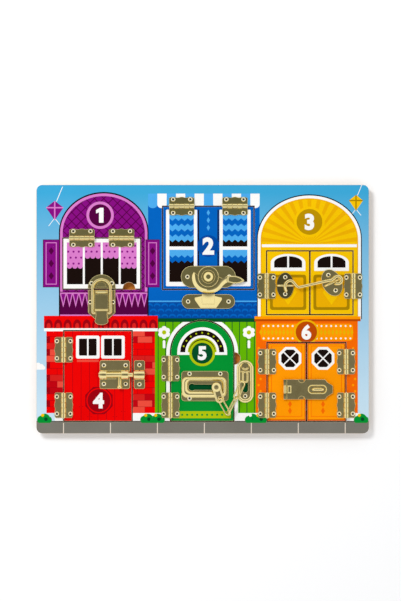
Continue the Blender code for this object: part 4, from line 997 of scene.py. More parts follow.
def draw_window_2(sheet, left, right, low, high):
    for near, far in ((left + 3.5, left + 41), (right - 41, right - 3.5)):
        sheet.add("white", rounded(near, far, low + 3.2, high - 3.5, 1.2))
        near, far = near + 4, far - 4
        for foot, ceiling, rows in ((low + 8.4, low + 47, 2), (low + 51, high - 7.5, 5)):
            pane = sheet.box("night", near, far, foot, ceiling)
            for row in reversed(range(rows)):
                y = ceiling - 6.4 * (row + 1)
                hem = [(near + (far - near) * n / 8, y - (3 if n % 2 else 0)) for n in range(9)]
                curtain = [(near, ceiling), *hem, (far, ceiling)]
                sheet.add("blue" if row % 2 else "pale_blue", curtain, pane)
    centre = (left + right) / 2
    sheet.box("night", centre - 12.6, centre + 12.6, low + 3.2, high - 3.5)
    sheet.box("blue", centre - 11, centre + 11, low, high)
    sheet.badge("2", centre, 76, 21, ("deep_blue", 13.2))
    for y in (98, 107, 116):
        sheet.add("pale_blue", star(centre, y, 3.6, 2.0, 2))


def draw_door_3(sheet, left, right, low, high):
    left, right, centre = left + 3.4, right - 3.4, (left + right) / 2
    sheet.add("white", arched(left + 1, right - 1, high - 23.5, high - 13.5, 0.5))
    pane = sheet.add("night", arched(left + 5, right - 5, high - 19.5, high - 13.2, 0.44))
    sheet.box("white", centre - 1.1, centre + 1.1, high - 22, high, pane)
    sheet.add("ochre", rounded(left, right, low + 5, low + 47.5, 3))
    sheet.add("gold", rounded(left + 3.4, right - 3.4, low + 8.4, low + 44.1, 2))
    sheet.add("yellow", star(centre, low + 26.2, 15, 10.6, 2))


def draw_door_4(sheet, left, right, low, high):
    for number in range(1, 8):
        x = left + (right - left) * number / 8
        sheet.box("deep_red", x - 0.25, x + 0.25, low, high)
        for side in (-2, 2):
            sheet.dot("deep_red", x + side, low + 5 + 6 * (number % 3), 0.5, 8)
    for x in (-152.4, -122.2):
        sheet.add("white", rounded(x, x + 28.4, high - 33, high - 5.4, 2.2))
        sheet.add("night", rounded(x + 3.6, x + 24.8, high - 29.4, high - 9, 1.2))
        sheet.box("white", x + 13.3, x + 15.1, high - 30, high - 8)
        sheet.box("coral", x + 1.2, x + 27.2, high - 37, high - 34.4)
    sheet.add("deep_red", star(-124.8, -110, 17.8, 16.5, 8, 22.5))
    sheet.badge("4", -124.8, -110, 19, ("red", 15.2), ("deep_red", 13.6), aside=-0.6)


def draw_door_5(sheet, left, right, low, high):
    centre = ((left + right) / 2, high - (right - left) / 2)
    x, spring = centre
    rings = (("white", 30), ("night", 26.4), ("white", 20.4), ("lime", 17.4), ("night", 15.8))
    for ink, radius in rings:
        sheet.add(ink, arc(centre, radius, 0, 180, 40))
    for place_at in arc(centre, 23.4, 18, 162, 8):
        sheet.dot("lime", *place_at, 1.1, 10)
    sheet.box("white", x - 30, x + 30, spring - 3.2, spring)
    sheet.badge("5", x, -53, 17, ("lime", 15.6), ("deep_green", 12.6))
    sheet.box("lime", left + 3, right - 3, low + 3, low + 11.5)
    for number in range(11):
        sheet.dot("green", left + 7.5 + 6 * number, low + 7.2, 1.3, 12)
    # Painted shade: a deep green patch under the track's slot, so the door seen through it looks
    # shaded
    left, right, low, high = millimetres("chain_track")
    sheet.box("deep_green", left + 8, right - 8, low + 12, high - 12)


def draw_door_6(sheet, left, right, low, high):
    borders = ((0.6, 0.9, 0.6), (1.3, 1.6, 1.3), (4.4, 4.8, 3.2), (5.1, 5.5, 3.9))
    for ink, (side, foot, top) in zip(("rust", "tangerine", "orange", "tangerine"), borders):
        sheet.box(ink, left + side, right - side, low + foot, high - top)
    inwards = 4 if left < 100 else -4
    x, y = (left + right) / 2 + inwards, high - 18.4
    for ink, radius in (("white", 14.8), ("night", 11.4)):
        sheet.add(ink, arc((x, y), radius, 22.5, 337.5, 7))
    for rise in (8, -8):
        sheet.line("white", (x - 8, y - rise), (x + 8, y + rise), 1.5)
    for y in (low + 12, low + 20):
        sheet.add("orange", star(x, y, 4.2, 2.4, 2))


# Each picture: its ground, then inks and shapes round its middle
PICTURES = {
    "window_1": ("lilac", ("purple", disc, 0, 0, 25), ("yellow", star, 0, 0, 20, 9, 5)),
    "window_2": (
        "pale_blue",
        ("white", disc, 0, 6, 33),
        *(("deep_blue", disc, *petal, 10) for petal in arc((0, 6), 17, 30, 330, 5)),
        ("yellow", disc, 0, 6, 10),
    ),
    "door_3": (
        "gold",
        ("yellow", star, 0, 0, 33, 22, 12),
        ("orange", disc, 0, 0, 18),
        ("yellow", disc, 0, 0, 12),
    ),
    "door_4": (
        "coral",
        *(("white", disc, *petal, 7) for petal in arc((0, 12), 13, 0, 315, 7)),
        ("yellow", disc, 0, 12, 9),
    ),
    "door_5": (
        "leaf",
        ("white", disc, 0, 0, 27),
        ("lime", disc, 0, 0, 22),
        ("green", disc, 0, 0, 16),
        ("yellow", disc, 0, 0, 9),
    ),
    "door_6": (
        "tangerine",
        ("white", star, 0, 0, 36, 26, 2),
        ("red", star, 0, 0, 28, 19.8, 2),
        ("yellow", disc, 0, 0, 9),
    ),
}


def draw_pictures():
    """A plain picture behind each window and door."""
    outlines, borders = openings(-0.3), openings(1.15)
    sheets = {}
    for name, (ground, *shapes) in PICTURES.items():
        xs, ys = zip(*outlines[name])
        left, right, low, high = min(xs), max(xs), min(ys), max(ys)
        x, y = (left + right) / 2, (low + high) / 2
        sheets[name] = sheet = Print("night", borders[name])
        picture = sheet.add(ground, outlines[name])
        for number in range(5):
            band = low + (high - low) * number / 5
            sheet.line("white", (left, band), (right, band + 6), 0.7)
        if name == "door_4":
            sheet.box("green", x - 1.6, x + 1.6, low, y)
            sheet.dot("green", x - 9, low + 22, 8, 24, 0.5)
            sheet.dot("green", x + 9, low + 30, 8, 24, 0.5)
        for ink, shape, dx, dy, *more in shapes:
            sheet.add(ink, shape(x + dx, y + dy, *more))
        if name == "door_5":
            sheet.box("green", left, right, low, low + 12)
        for number in range(int((right - left) // 12)):
            sheet.dot("white", left + 8 + 12 * number, low + 5, 1.6, 12)
        drawn = sheet.shapes[picture + 1 :]
        sheet.shapes[picture + 1 :] = [(ink, corners, picture) for ink, corners, _ in drawn]
        if name == "window_1":
            sheet.add("umber", notch(name, 9))
    edge = max(x for x, _ in borders["door_5"]) + 0.1
    beside = [(x, y) for x, y in notch("door_5", 8.2) if x > edge]
    sheets["door_5_notch"] = Print("umber", sorted(beside, key=lambda corner: corner[1]))
    return sheets


class Step:
    """One step of the finish, as a button."""

    def execute(self, context):
        self.build(context.scene)
        return {"FINISHED"}


class LATCH_BOARD_OT_raw_wood(Step, bpy.types.Operator):
    """Gives the board and its leaves their bare plywood edges"""

    bl_idname = "latch_board.raw_wood"
    bl_label = "Raw Wood"

    def build(self, scene):
        for name in ("front_board", "back_panel", *LEAVES):
            for slot in frame["nodes"][name].material_slots:
                slot.material = wood_material()


class LATCH_BOARD_OT_front_print(Step, bpy.types.Operator):
    """Prints the sky, the six fields and the pavement on the front board"""

    bl_idname = "latch_board.front_print"
    bl_label = "Front Print"

    def build(self, scene):
        left, right, low, high = millimetres("front_board")
        outline = rounded(left + TRIM, right - TRIM, low + TRIM, high - TRIM, 6.6, 10)
        sheet = Print("sky", outline)
        cloud(sheet, -197, -70, 4.5)
        kite(sheet, "purple", "lilac", -178, 120, 10.5)
        kite(sheet, "yellow", "ochre", 184.5, 129, 8.5)
        draw_blue_field(sheet)
        draw_purple_field(sheet)
        draw_yellow_field(sheet)
        draw_green_field(sheet)
        draw_red_field(sheet)
        draw_orange_field(sheet)
        draw_ground(sheet)
        for corners in (*openings(1.3 + TRIM).values(), notch("door_5", 7.7)):
            sheet.add(None, corners)
        sheet.make("front_print", FACE, "board", "sky_blue_wood")


class LATCH_BOARD_OT_leaf_prints(Step, bpy.types.Operator):
    """Prints the face of each window and door"""

    bl_idname = "latch_board.leaf_prints"
    bl_label = "Window and Door Prints"

    def build(self, scene):
        drawings = {
            "window_1": draw_window_1,
            "window_2": draw_window_2,
            "door_3": draw_door_3,
            "door_4": draw_door_4,
            "door_5": draw_door_5,
            "door_6": draw_door_6,
        }
        for name, (wood, ground, *_) in LEAVES.items():
            sheet = Print(ground, leaf_outline(name, -TRIM))
            kind = name.removesuffix("_left").removesuffix("_right")
            drawings[kind](sheet, *millimetres(name))
            if name == "window_1":
                sheet.add(None, notch(name, 7.7))
            sheet.make(name + "_print", FACE, name, wood)


class LATCH_BOARD_OT_pictures(Step, bpy.types.Operator):
    """Puts a picture on the back panel behind each opening"""

    bl_idname = "latch_board.pictures"
    bl_label = "Pictures behind the Doors"

    def build(self, scene):
        for name, sheet in draw_pictures().items():
            sheet.make("picture_" + name, BACK, "board", "bare_wood")


# Catches

ALONG_X = Matrix.Rotation(math.pi / 2, 4, "Y")
ALONG_Y = Matrix.Rotation(-math.pi / 2, 4, "X")
DOWN_Y = Matrix.Rotation(math.pi / 2, 4, "X")
FOUR_CORNERS = ((-1, -1), (-1, 1), (1, -1), (1, 1))
BARREL = 2.6
KNUCKLES = 5


def hinge_mesh(name, side):
    """A hinge leaf with a wavy edge. The one on the board holds the pin."""
    work = Work()
    half, start, foot, corner = 15.25, BARREL + FIT, 0.8 - BARREL, 1.4
    edge = []
    for step in range(91):
        along = half * math.sin(math.pi * (step / 90 - 1 / 2))
        wave = 0.45 * (1 - math.cos(2 * math.pi * along / 10.3))
        past = max(0.0, corner - (half - abs(along)))
        cut = corner - math.sqrt(corner**2 - past**2)
        edge.append((side * (11.2 - wave - cut), along))
    outline = [(side * start, -half), *edge, (side * start, half)]
    work.slab([outline], -BARREL, foot, "plate", 0.28)
    work.screws([(side * 8.1, along) for along in (-10.3, 10.3)], foot)
    pitch = (2 * half + FIT) / KNUCKLES
    for number in range(0 if side < 0 else 1, KNUCKLES, 2):
        low = -half + number * pitch
        high = low + pitch - FIT
        near, far = sorted((0, side * (start + FIT)))
        work.slab([rectangle(near, far, low, high)], -BARREL, foot, "plate", 0.1)
        knuckle = [(1.2, low), *pin(BARREL, low, high), (1.2, high)]
        work.turned(knuckle, "bright", 32, ALONG_Y)
    if side < 0:
        work.turned(pin(1.1, -half - 0.5, half + 0.5), "screw", 20, ALONG_Y)
    return work.mesh(name)


class LATCH_BOARD_OT_hinges(Step, bpy.types.Operator):
    """Makes the fourteen hinges, each kind of leaf from one mesh"""

    bl_idname = "latch_board.hinges"
    bl_label = "Hinges"

    def build(self, scene):
        fixed = hinge_mesh("hinge_board_leaf", -1)
        moving = hinge_mesh("hinge_door_leaf", 1)
        for body, (_, _, *hinges) in LEAVES.items():
            turn = math.pi if body.endswith("right") else 0.0
            if body.startswith("window"):
                turn = -math.pi / 2
            for hinge in hinges:
                nodes = [f"hinge_{hinge}_{kind}_leaf" for kind in ("board", "door")]
                boxes = [millimetres(name) for name in nodes]
                left, _, low, _ = map(min, *boxes)
                _, right, _, high = map(max, *boxes)
                foot = min(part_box(name)[0].z for name in nodes) / MM
                at = ((left + right) / 2, (low + high) / 2, foot + BARREL)
                place(fixed, nodes[0], at, "board", turn)
                place(moving, nodes[1], at, body, turn)


class LATCH_BOARD_OT_draw_latch(Step, bpy.types.Operator):
    """Catch 1: keeper, base, lever and wire loop"""

    bl_idname = "latch_board.draw_latch"
    bl_label = "1 Draw Latch"

    def build(self, scene):
        left, right, low, _ = millimetres("draw_keeper")
        x = (left + right) / 2
        keeper = Work()
        keeper.slab([arc((0, FIT), 16.8, 0, 180, 48)], 0, PLATE, "plate", 0.42)
        keeper.slab([arc((0, 2.2), 5.6, 0, 180, 32)], PLATE - SINK, 5.5, "plate", 0.15)
        keeper.screws([(-12.3, 6.4), (12.3, 6.4)])
        keeper.make("draw_keeper", (x, low - FIT, SEAT), "window_1")
        self.base(x)
        self.lever()
        self.loop(scene.latch_board_metal.loop_wire / MM)

    def base(self, x):
        half, shoulder, length = 16.45, -27.2, 34.7
        right = [(half, 0), (half, shoulder), (8.4, -length)]
        base = Work()
        base.slab([right + mirrored(right)], 0, PLATE, "plate", 0.42)
        for side in (-1, 1):
            rim = rectangle(*sorted((side * half, side * (half - 1.3))), shoulder + 1, 0)
            base.slab([rim], PLATE - SINK, PLATE + 0.9, "bright", 0.4)
        base.screws([(-13.9, -14.5), (13.9, -14.5)])
        pin_y, pin_z, inner = -2.2, PLATE + 2.7, 5.5 + FIT
        across = Matrix.Translation((0, pin_y, pin_z)) @ ALONG_X
        for side in (-1, 1):
            near, far = sorted((side * inner, side * (inner + 1.4)))
            ear = rectangle(near, far, pin_y - 2.2, pin_y + 2.2)
            base.slab([ear], PLATE - SINK, pin_z, "bright", 0.1)
            base.turned(pin(2.2, near, far), "bright", 32, across)
        base.turned(pin(0.9, -inner - 1.8, inner + 1.8), "screw", 20, across)
        base.make("draw_base", (x, millimetres("draw_base")[3], SEAT), "board")

    def lever(self):
        """A curl on the pin, a panel, a ridge, and a tongue that flares to the fingertip."""
        lever = Work()
        half, end, finger, waist, flare = 0.6, -21.8, -39.8, 6.8, 8.1
        lever.slab([rectangle(-5.5, 5.5, -3.6, 0)], -half, half, "plate", 0.1)
        lever.slab([rectangle(-8.1, 8.1, end, -3.4)], -half, half, "plate", 0.3)
        waist_y, flare_y = (end + (finger - end) * share for share in (0.33, 0.75))
        right = smooth([(waist * 1.06, end + SINK), (waist, waist_y), (flare, flare_y)], 8)
        reach = (flare_y - finger) / flare
        tip = [(x, flare_y + y * reach) for x, y in arc((0, 0), flare, 0, -180, 20)]
        lever.slab([right[:-1] + tip + mirrored(right)[1:]], -half, half, "plate", 0.4)
        ridge = Matrix.Translation((0, end, half)) @ ALONG_X
        lever.turned(pin(1.2, -8.1, 8.1), "bright", 28, ridge)
        lever.turned(pin(2.0, -5.5, 5.5), "bright", 32, ALONG_X)
        lever.make("draw_lever", joint_place("draw_lever_lift"))

    def loop(self, wire):
        half, length = 10.8, 40.4
        top = arc((0, length - half), half, 0, 180, 40)
        foot = [(half - 3.6, 0)] + arc((half - wire, wire), wire, -90, 0, 8)
        lean = Matrix.Rotation(math.radians(4.2), 4, "X")
        loop = Work()
        loop.tube(foot + top + mirrored(foot), wire, turn=lean)
        loop.make("draw_loop", joint_place("draw_loop_lift"))


class LATCH_BOARD_OT_sash_lock(Step, bpy.types.Operator):
    """Catch 2: plate, turning lever and keeper"""

    bl_idname = "latch_board.sash_lock"
    bl_label = "2 Sash Lock"
    thick = 1.2

    def build(self, scene):
        plate = Work()
        plate.slab([obround(66, 26.2, 24)], 0, self.thick, "plate", 0.5)
        plate.screws([(-25.1, 0), (25.1, 0)], self.thick)
        rivet = self.thick + 5.4 + 2 * FIT
        plate.turned([(3, self.thick - SINK), (3, rivet + SINK)], "plate", 32)
        head = ((5, 0), (5.7, 0.4), (5.3, 1), (4.2, 1.4), (3.1, 1.1), (2.7, 0.7), (2.7, 0.2))
        plate.turned([(radius, rivet + height) for radius, height in head], "bright", 48)
        floor = [(2.7, rivet + 0.1), (2.7, rivet + 0.3), (0, rivet + 0.3)]
        plate.turned(floor, "plate", 48)
        plate.make("sash_plate", body="window_2")
        self.lever()
        self.keeper()

    def lever(self):
        """A hub with an arm below it, which has a sloping rim, and a leaf to turn it by."""
        lever = Work()
        hub, top = 12.5, 4.6
        pairs = (
            ((-17.5, 5.7), (-16.4, 4.6)), ((-19.4, 1.4), (-15.9, 0.4)),
            ((-19.3, -4.6), (-15.1, -4.4)), ((-16.4, -11.6), (-12.2, -9.6)),
            ((-10, -17.6), (-7.2, -13.2)), ((0, -20), (0, -14.7)), ((8.4, -18.5), (6.2, -13.1)),
            ((14.2, -15), (10.6, -9.9)), ((18.2, -10.2), (14.2, -4.6)),
            ((22, -7.2), (18.6, -0.6)), ((26, -5.6), (23.6, 0.6)),
        )
        outer, inner = (smooth(points) for points in zip(*pairs))
        lever.slab([outer + arc((0, 0), hub, 0, 172, 24)], 0, 1.8, "plate", 0.4)
        last = len(outer) - 1
        rims = []
        for number in range(last + 1):
            rise = 1.8 + 0.4 + 1.1 * min(1, number / 8, (last - number) / 5)
            rims.append(((0, 1), (0, 1.4), (0.06, 1.8), (0.9, rise), (0.97, rise - 0.1), (1, 1)))
        lever.band(outer, inner, rims, ring=False)
        rim = [(hub - 0.3, 1.6), (hub, 2), (hub, top - 0.3), (hub - 0.3, top)]
        lever.turned([*rim, (3.5, top), (3.5, 1.6)], "plate", 72)
        for radius, half, rise in ((11.9, 0.25, 0.2), (7.9, 0.3, 0.3)):
            rims = (disc(0, 0, edge, 64) for edge in (radius + half, radius - half))
            lever.hoop(*rims, top - 0.1, rise)
        half = [(22.5, 3.1), (27, 4.2), (32, 4.6), (37, 3.8), (41, 2.2)]
        leaf = smooth([(x, -y) for x, y in half] + [(43.4, 0)] + half[::-1], 5, True)
        turn = Matrix.Rotation(math.radians(-6.3), 4, "Z")
        lever.slab([leaf], 1.4, 2.6, "plate", 0.3, turn)
        dish = [(32.5 + 0.68 * (x - 32.5), 0.62 * y) for x, y in leaf]
        lever.hoop(leaf, dish, 1.8, 1.2, turn)
        axis = joint_place("sash_lever_turn")
        lever.make("sash_lever", (axis.x, axis.y, SEAT + 1.5))

    def keeper(self):
        """A plate with a ramp, and a shelf on top of it."""
        thick = self.thick
        _, _, low, high = millimetres("sash_keeper")
        y = low + 8.7
        keeper = Work()
        keeper.slab([obround(64, 17.4, 20)], 0, thick, "plate", 0.5)
        keeper.screws([(-24.3, 0), (24.3, 0)], thick)
        lip, top, foot = high - y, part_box("sash_keeper")[1].z / MM - SEAT, thick - SINK
        ramp = (
            (9.5, -7.9, thick + 0.3), (16.5, lip - 7.5, thick + 0.9),
            (16.3, lip - 4.5, thick + 0.9), (7.8, lip - 2.6, top - 2.2),
            (7.5, lip - 2.6, top - 0.8),
            (9.5, -7.9, foot), (16.3, lip - 4.5, foot), (7.8, lip - 2.6, foot),
        )
        shelf = ((lip - 12.5, top - 3.4), (lip - 12.5, top - 3.3), (lip, top - 2.4), (lip, top))
        for corners in (ramp, [(7.7, *corner) for corner in shelf]):
            shape = bmesh.new()
            for across, along, height in corners:
                for side in (-1, 1):
                    shape.verts.new(metres((side * across, along, height)))
            bmesh.ops.convex_hull(shape, input=shape.verts)
            parts = {"verts": shape.verts, "edges": shape.edges}
            bmesh.ops.dissolve_limit(shape, angle_limit=math.radians(2), **parts)
            rolled = {"offset": 0.4 * MM, "segments": 3, "profile": 0.5, "affect": "EDGES"}
            bmesh.ops.bevel(shape, geom=shape.edges, **rolled)
            keeper.take(mesh_of(shape), "bright")
        keeper.make("sash_keeper", (seat("sash_plate").x, y, SEAT), "board")


EYE_TURN = math.radians(25.5)


class LATCH_BOARD_OT_hook_and_eye(Step, bpy.types.Operator):
    """Catch 3: two oval plates with staples, and the hook"""

    bl_idname = "latch_board.hook_and_eye"
    bl_label = "3 Hook and Eye"
    top = PLATE + 2.2
    wire = 1.2

    def build(self, scene):
        self.plate("hook_eye", "door_3_left", 31.4, 20.7, 0.0, "dark")
        self.plate("hook_plate", "door_3_right", 33.6, 23.6, EYE_TURN, "plate")
        self.hook(scene.latch_board_metal.hook_wire / MM)

    def plate(self, name, body, length, width, turn, finish):
        plate = Work()
        plate.slab([disc(0, 0, width / 2, 60, length / width)], 0, PLATE, finish, 0.42)
        plate.screws([(0, 10.1), (0, -10.1)])
        right = smooth([(9.2, 0, PLATE - SINK), (9.2, 0, self.top - 1.1), (8.1, 0, self.top)], 5)
        plate.tube(right + mirrored(right), self.wire)
        plate.make(name, body=body, turn=turn)

    def hook(self, wire):
        """A ring at one staple, and a shank that bends round the other."""
        plate, eye = seat("hook_plate"), seat("hook_eye")
        ring = plate + Vector((math.cos(EYE_TURN), math.sin(EYE_TURN), 0)) * 7.3
        ring.z = SEAT + self.top + self.wire + FIT + 1.8
        run = (ring - eye).to_2d()
        bend, radius = 15.5, 4.6
        offset = bend * 0.475
        turn = math.atan2(run.y, run.x) + math.asin(offset / run.length)
        reach = math.sqrt(run.length_squared - offset**2) + bend * 0.058
        loop = [(x, y, 0) for x, y in arc((0, 0), radius, 40, 320, 40)]
        neck = [(radius * 1.75, -radius * 0.3, 0), (radius * 2.4, -radius * 0.39, 0)]
        shares = (
            (1.187, 0.117, 0), (1, 0.137, 0), (0.866, 0.282, 0), (0.757, 0.507, 0),
            (0.652, 0.676, 0), (0.499, 0.765, 0), (0.322, 0.753, 0), (0.141, 0.656, 0),
            (0.032, 0.491, 0), (0, 0.342, 0), (0, 0.181, 0.08), (0.028, 0.04, 0.16),
        )
        tail = [(reach - bend * x, -bend * y, -bend * drop) for x, y, drop in shares]
        hook = Work()
        hook.tube(loop[:-1] + smooth([loop[-1], *neck, *tail], 5), wire)
        hook.make("hook", ring, turn=math.pi + turn)


class LATCH_BOARD_OT_barrel_bolt(Step, bpy.types.Operator):
    """Catch 4: case, bolt and keeper"""

    bl_idname = "latch_board.barrel_bolt"
    bl_label = "4 Barrel Bolt"
    rise = PLATE + FIT + 3

    def build(self, scene):
        case = Work()
        case.slab([pad(18.1, 17.2, 2.2)], 0, PLATE, "plate", 0.42)
        case.screws([(13.1 * x, 11.1 * y) for x, y in FOUR_CORNERS])
        self.hoop(case, -13.8, 8.6)
        self.hoop(case, 12.4, 8.6, True)
        for side, end in ((-1, 1.8), (1, 18.1)):
            rail = rectangle(-18.1, end, *sorted((side * 3.6, side * 5.4)))
            case.slab([rail], PLATE - SINK, PLATE + 0.9, "bright", 0.4)
        case.make("bolt_case", body="door_4")

        keeper = Work()
        keeper.slab([pad(6.45, 17.15, 2.2)], 0, PLATE, "plate", 0.42)
        keeper.screws([(0, -11.5), (0, 11.5)])
        self.hoop(keeper, 0, 12.9)
        keeper.make("bolt_keeper", body="board")

        at = seat("bolt_case")
        tail, tip = (edge - at.x for edge in millimetres("bolt")[:2])
        profile = [(2.2, tail), (3, tail + 0.6), (3, tip - 1.2), (2.6, tip - 0.4), (1.8, tip)]
        stem = [(1.7, 0), (1.7, 12.6), (2.1, 13.4), (2.8, 14.6), (2.9, 15.6), (2.4, 16.5)]
        stem.append((0, 16.8))
        rod = Work()
        rod.turned(profile, "bright", 36, ALONG_X)
        rod.turned(stem, "bright", 32, Matrix.Translation((6, 0, 0)) @ DOWN_Y)
        rod.make("bolt", (at.x, at.y, SEAT + self.rise))

    def hoop(self, work, x, length, passage=False):
        """A hoop over the bolt, round on a square foot. A passage lets the handle through."""
        low, outer, inner, centre = PLATE - SINK, 5.7, 3.4, (0, self.rise)
        if passage:
            far, near = (180 - math.degrees(math.asin(2.1 / radius)) for radius in (outer, inner))
            side = arc(centre, inner, near, -70, 40)
            band = arc(centre, outer, 0, far, 36) + side
            outlines = [[(outer, low)] + band + [(side[-1][0], low)]]
        else:
            band = [(-outer, low), (outer, low)] + arc(centre, outer, 0, 180, 40)
            outlines = [band, arc(centre, inner, 0, 345, 23)]
        lie = Matrix(((0, 0, 1, 0), (1, 0, 0, 0), (0, 1, 0, 0), (0, 0, 0, 1)))
        work.slab(outlines, x - length / 2, x + length / 2, "bright", 0.4, lie)


class LATCH_BOARD_OT_chain_guard(Step, bpy.types.Operator):
    """Catch 5: track, slider, three links and anchor"""

    bl_idname = "latch_board.chain_guard"
    bl_label = "5 Chain Guard"
    skin = PLATE + 0.6

    def build(self, scene):
        self.track()
        self.slider()
        self.links(scene.latch_board_metal.link_wire / MM)
        self.anchor()

    def track(self):
        track = Work()
        track.slab([pad(28.3, 18.1, 4), pad(20.2, 5.95, 2)], 0, PLATE, "plate", 0.42)
        track.screws([(18.5 * x, 14.8 * y) for x, y in FOUR_CORNERS])
        ridge = pad(27.15, 12.5, 6.5, 10, -1.1, -1.5)
        track.hoop(ridge, pad(20.2, 5.95, 3.4, 10), PLATE - SINK, 2.2 + SINK)
        slot = arc((15.3, -1.2), 3.2, -90, 90, 16) + arc((-15.4, -1.2), 4.2, 50, 310, 28)
        track.slab([pad(20.4, 6.1, 2), slot], self.skin, self.skin + 0.8, "plate", 0.3)
        track.make("chain_track", body="door_5")

    def slider(self):
        """A flange under the track's skin, a tag on top of it, and a knob with a dimple."""
        slider = Work()
        flange, tag = self.skin - FIT, PLATE + 3.3 + FIT
        neck = [(2.3, flange), (2.3, tag - 1.1), (4.2, tag - 1.1), (4.2, tag + SINK)]
        slider.turned([(3.6, flange - 0.8), (3.6, flange), *neck], "plate", 36)
        outline = arc((0, 0), 5.2, 90, 270, 20) + arc((14.3, 0), 5.2, -90, 90, 20)
        inside = arc((0, 0), 2.4, 90, 270, 20) + arc((14.5, 0), 2.7, -90, 90, 20)
        hole = arc((14.5, 0), 2.7, 0, 345, 23)
        turn = Matrix.Rotation(math.radians(-73.7), 4, "Z")
        slider.slab([outline, hole], tag, tag + 0.7, "bright", 0.3, turn)
        slider.hoop(outline, inside, tag + 0.3, 0.9, turn)
        knob = (
            (5, 1), (5.6, 1.4), (5.5, 1.9), (4.6, 2.7), (3.6, 3), (3.1, 2.7),
            (2.7, 2.4), (1.2, 2.6), (0, 2.7),
        )
        slider.turned([(radius, tag + height) for radius, height in knob], "bright", 44)
        slider.make("chain_slider", seat("chain_track") + Vector((13.7, -1.2, 0)))

    def links(self, wire):
        radius = 3.3
        far = arc((22 - radius, 0), radius, -90, 90, 20)
        for number, turn, tilt in ((1, -59.8, 36.0), (2, 62.0, -71.0), (3, 66.0, 20.0)):
            name = f"chain_link_{number}"
            link = Work()
            roll = Matrix.Rotation(math.radians(tilt), 4, "X")
            link.tube(arc((radius, 0), radius, 90, 270, 20) + far, wire, True, roll)
            link.make(name, joint_place(name + "_turn"), turn=math.radians(turn))

    def anchor(self):
        """A plate with a raised rim, a bar, a dome in a cup, and the ring for the chain."""
        anchor = Work()
        upright = Matrix.Rotation(math.pi / 2, 4, "Z")
        outline, inside = obround(51.1, 20.3, 24), obround(41.9, 11.1, 24)
        window = [(x - 6.6, y) for x, y in obround(13.5, 6.8, 12)]
        anchor.slab([outline, window], 0, PLATE, "plate", 0.4, upright)
        anchor.hoop(outline, inside, PLATE - 0.5, 1.3, upright)
        anchor.screws([(0, -17.5)])
        bar = smooth([(-5.6, 11.8, PLATE), (0, 12.2, PLATE + 0.2), (5.6, 11.8, PLATE)])
        anchor.tube(bar, 0.8)
        dome = [(4.6, PLATE), (4.5, PLATE + 0.8), (4.2, PLATE + 1.2), (0, PLATE + 1.3)]
        anchor.turned(dome, "plate", 36, Matrix.Translation((0, 18.2, 0)))
        cup = arc((0, 18), 3.4, 205, 335, 16)
        anchor.tube([(x, y, PLATE + 0.9) for x, y in cup], 1.2)
        ring = arc((0, 9), 2.8, 0, 180, 16) + arc((0, 1.8), 2.8, 180, 360, 16)
        anchor.tube([(x, y, PLATE - SINK) for x, y in ring], 1.2, True)
        anchor.make("chain_anchor", body="board")


class LATCH_BOARD_OT_hasp(Step, bpy.types.Operator):
    """Catch 6: fixed leaf, folding strap and staple"""

    bl_idname = "latch_board.hasp"
    bl_label = "6 Hasp"
    half = 12.05
    knuckle = 4.4
    barrel = 2.2

    def build(self, scene):
        half, knuckle, barrel = self.half, self.knuckle, self.barrel
        at = joint_place("hasp_strap_lift")
        base = Work()
        sheets = ((barrel + FIT, 22.6, half, 0.3), (0, barrel + 2 * FIT, knuckle, 0.1))
        for left, right, side, roll in sheets:
            outline = rectangle(left, right, -side, side)
            base.slab([outline], -barrel, PLATE - barrel, "strap", roll)
        base.turned(pin(barrel, -knuckle, knuckle), "bright", 32, ALONG_Y)
        base.turned(pin(1, -half, half), "screw", 20, ALONG_Y)
        base.make("hasp_base", at, "door_6_left")
        self.strap(at)

        staple = Work()
        staple.slab([pad(13, 5.2, 1.7)], 0, PLATE, "plate", 0.3)
        reach, top, wire = 5.8, 5.7, 1.7
        right = [(reach, 0, PLATE - SINK), (reach, 0, top - wire)]
        right += [(reach - wire / 3, 0, top - wire / 3), (reach - wire, 0, top)]
        staple.tube(smooth(right + mirrored(right), 4), wire)
        staple.make("hasp_staple", (at.x + 39.5, at.y, SEAT), "door_6_right")

    def strap(self, at):
        half, knuckle, barrel = self.half, self.knuckle, self.barrel
        strap = Work()
        start, low, thick, slot_x = barrel + FIT, PLATE + FIT - barrel, 1.2, 38.9
        shares = ((0.835, 1), (0.885, 0.71), (0.985, 0.41), (1, 0.36))
        nose = [(57.6 * x, half * y) for x, y in shares]
        upper = [(start, half), *arc((20.1, half), 3.9, 180, 360, 20), *nose]
        outline = [(x, -y) for x, y in upper] + upper[::-1]
        slot = pad(9.8, 3.9, 3.6, 8, slot_x)
        strap.slab([outline, slot], low, low + thick, "strap", 0.4)
        stamp = start + 2.8
        strap.hoop(pad(2.4, 4.7, 0.5, x=stamp), pad(1, 3.2, 0.4, x=stamp), low + 1.1, 0.6)
        strap.hoop(pad(11.6, 5.7, 5.4, 8, slot_x), slot, low + 0.9, 0.9)
        roll = arc((0, 0), barrel, 145.4, 394.6, 40)
        for side in (-1, 1):
            near, far = sorted((side * (knuckle + FIT), side * half))
            strap.slab([roll], -far, -near, "bright", 0.3, DOWN_Y)
            strap.slab([rectangle(0, start + FIT, near, far)], low, low + thick, "strap", 0.1)
        strap.make("hasp_strap", at)


# Stage


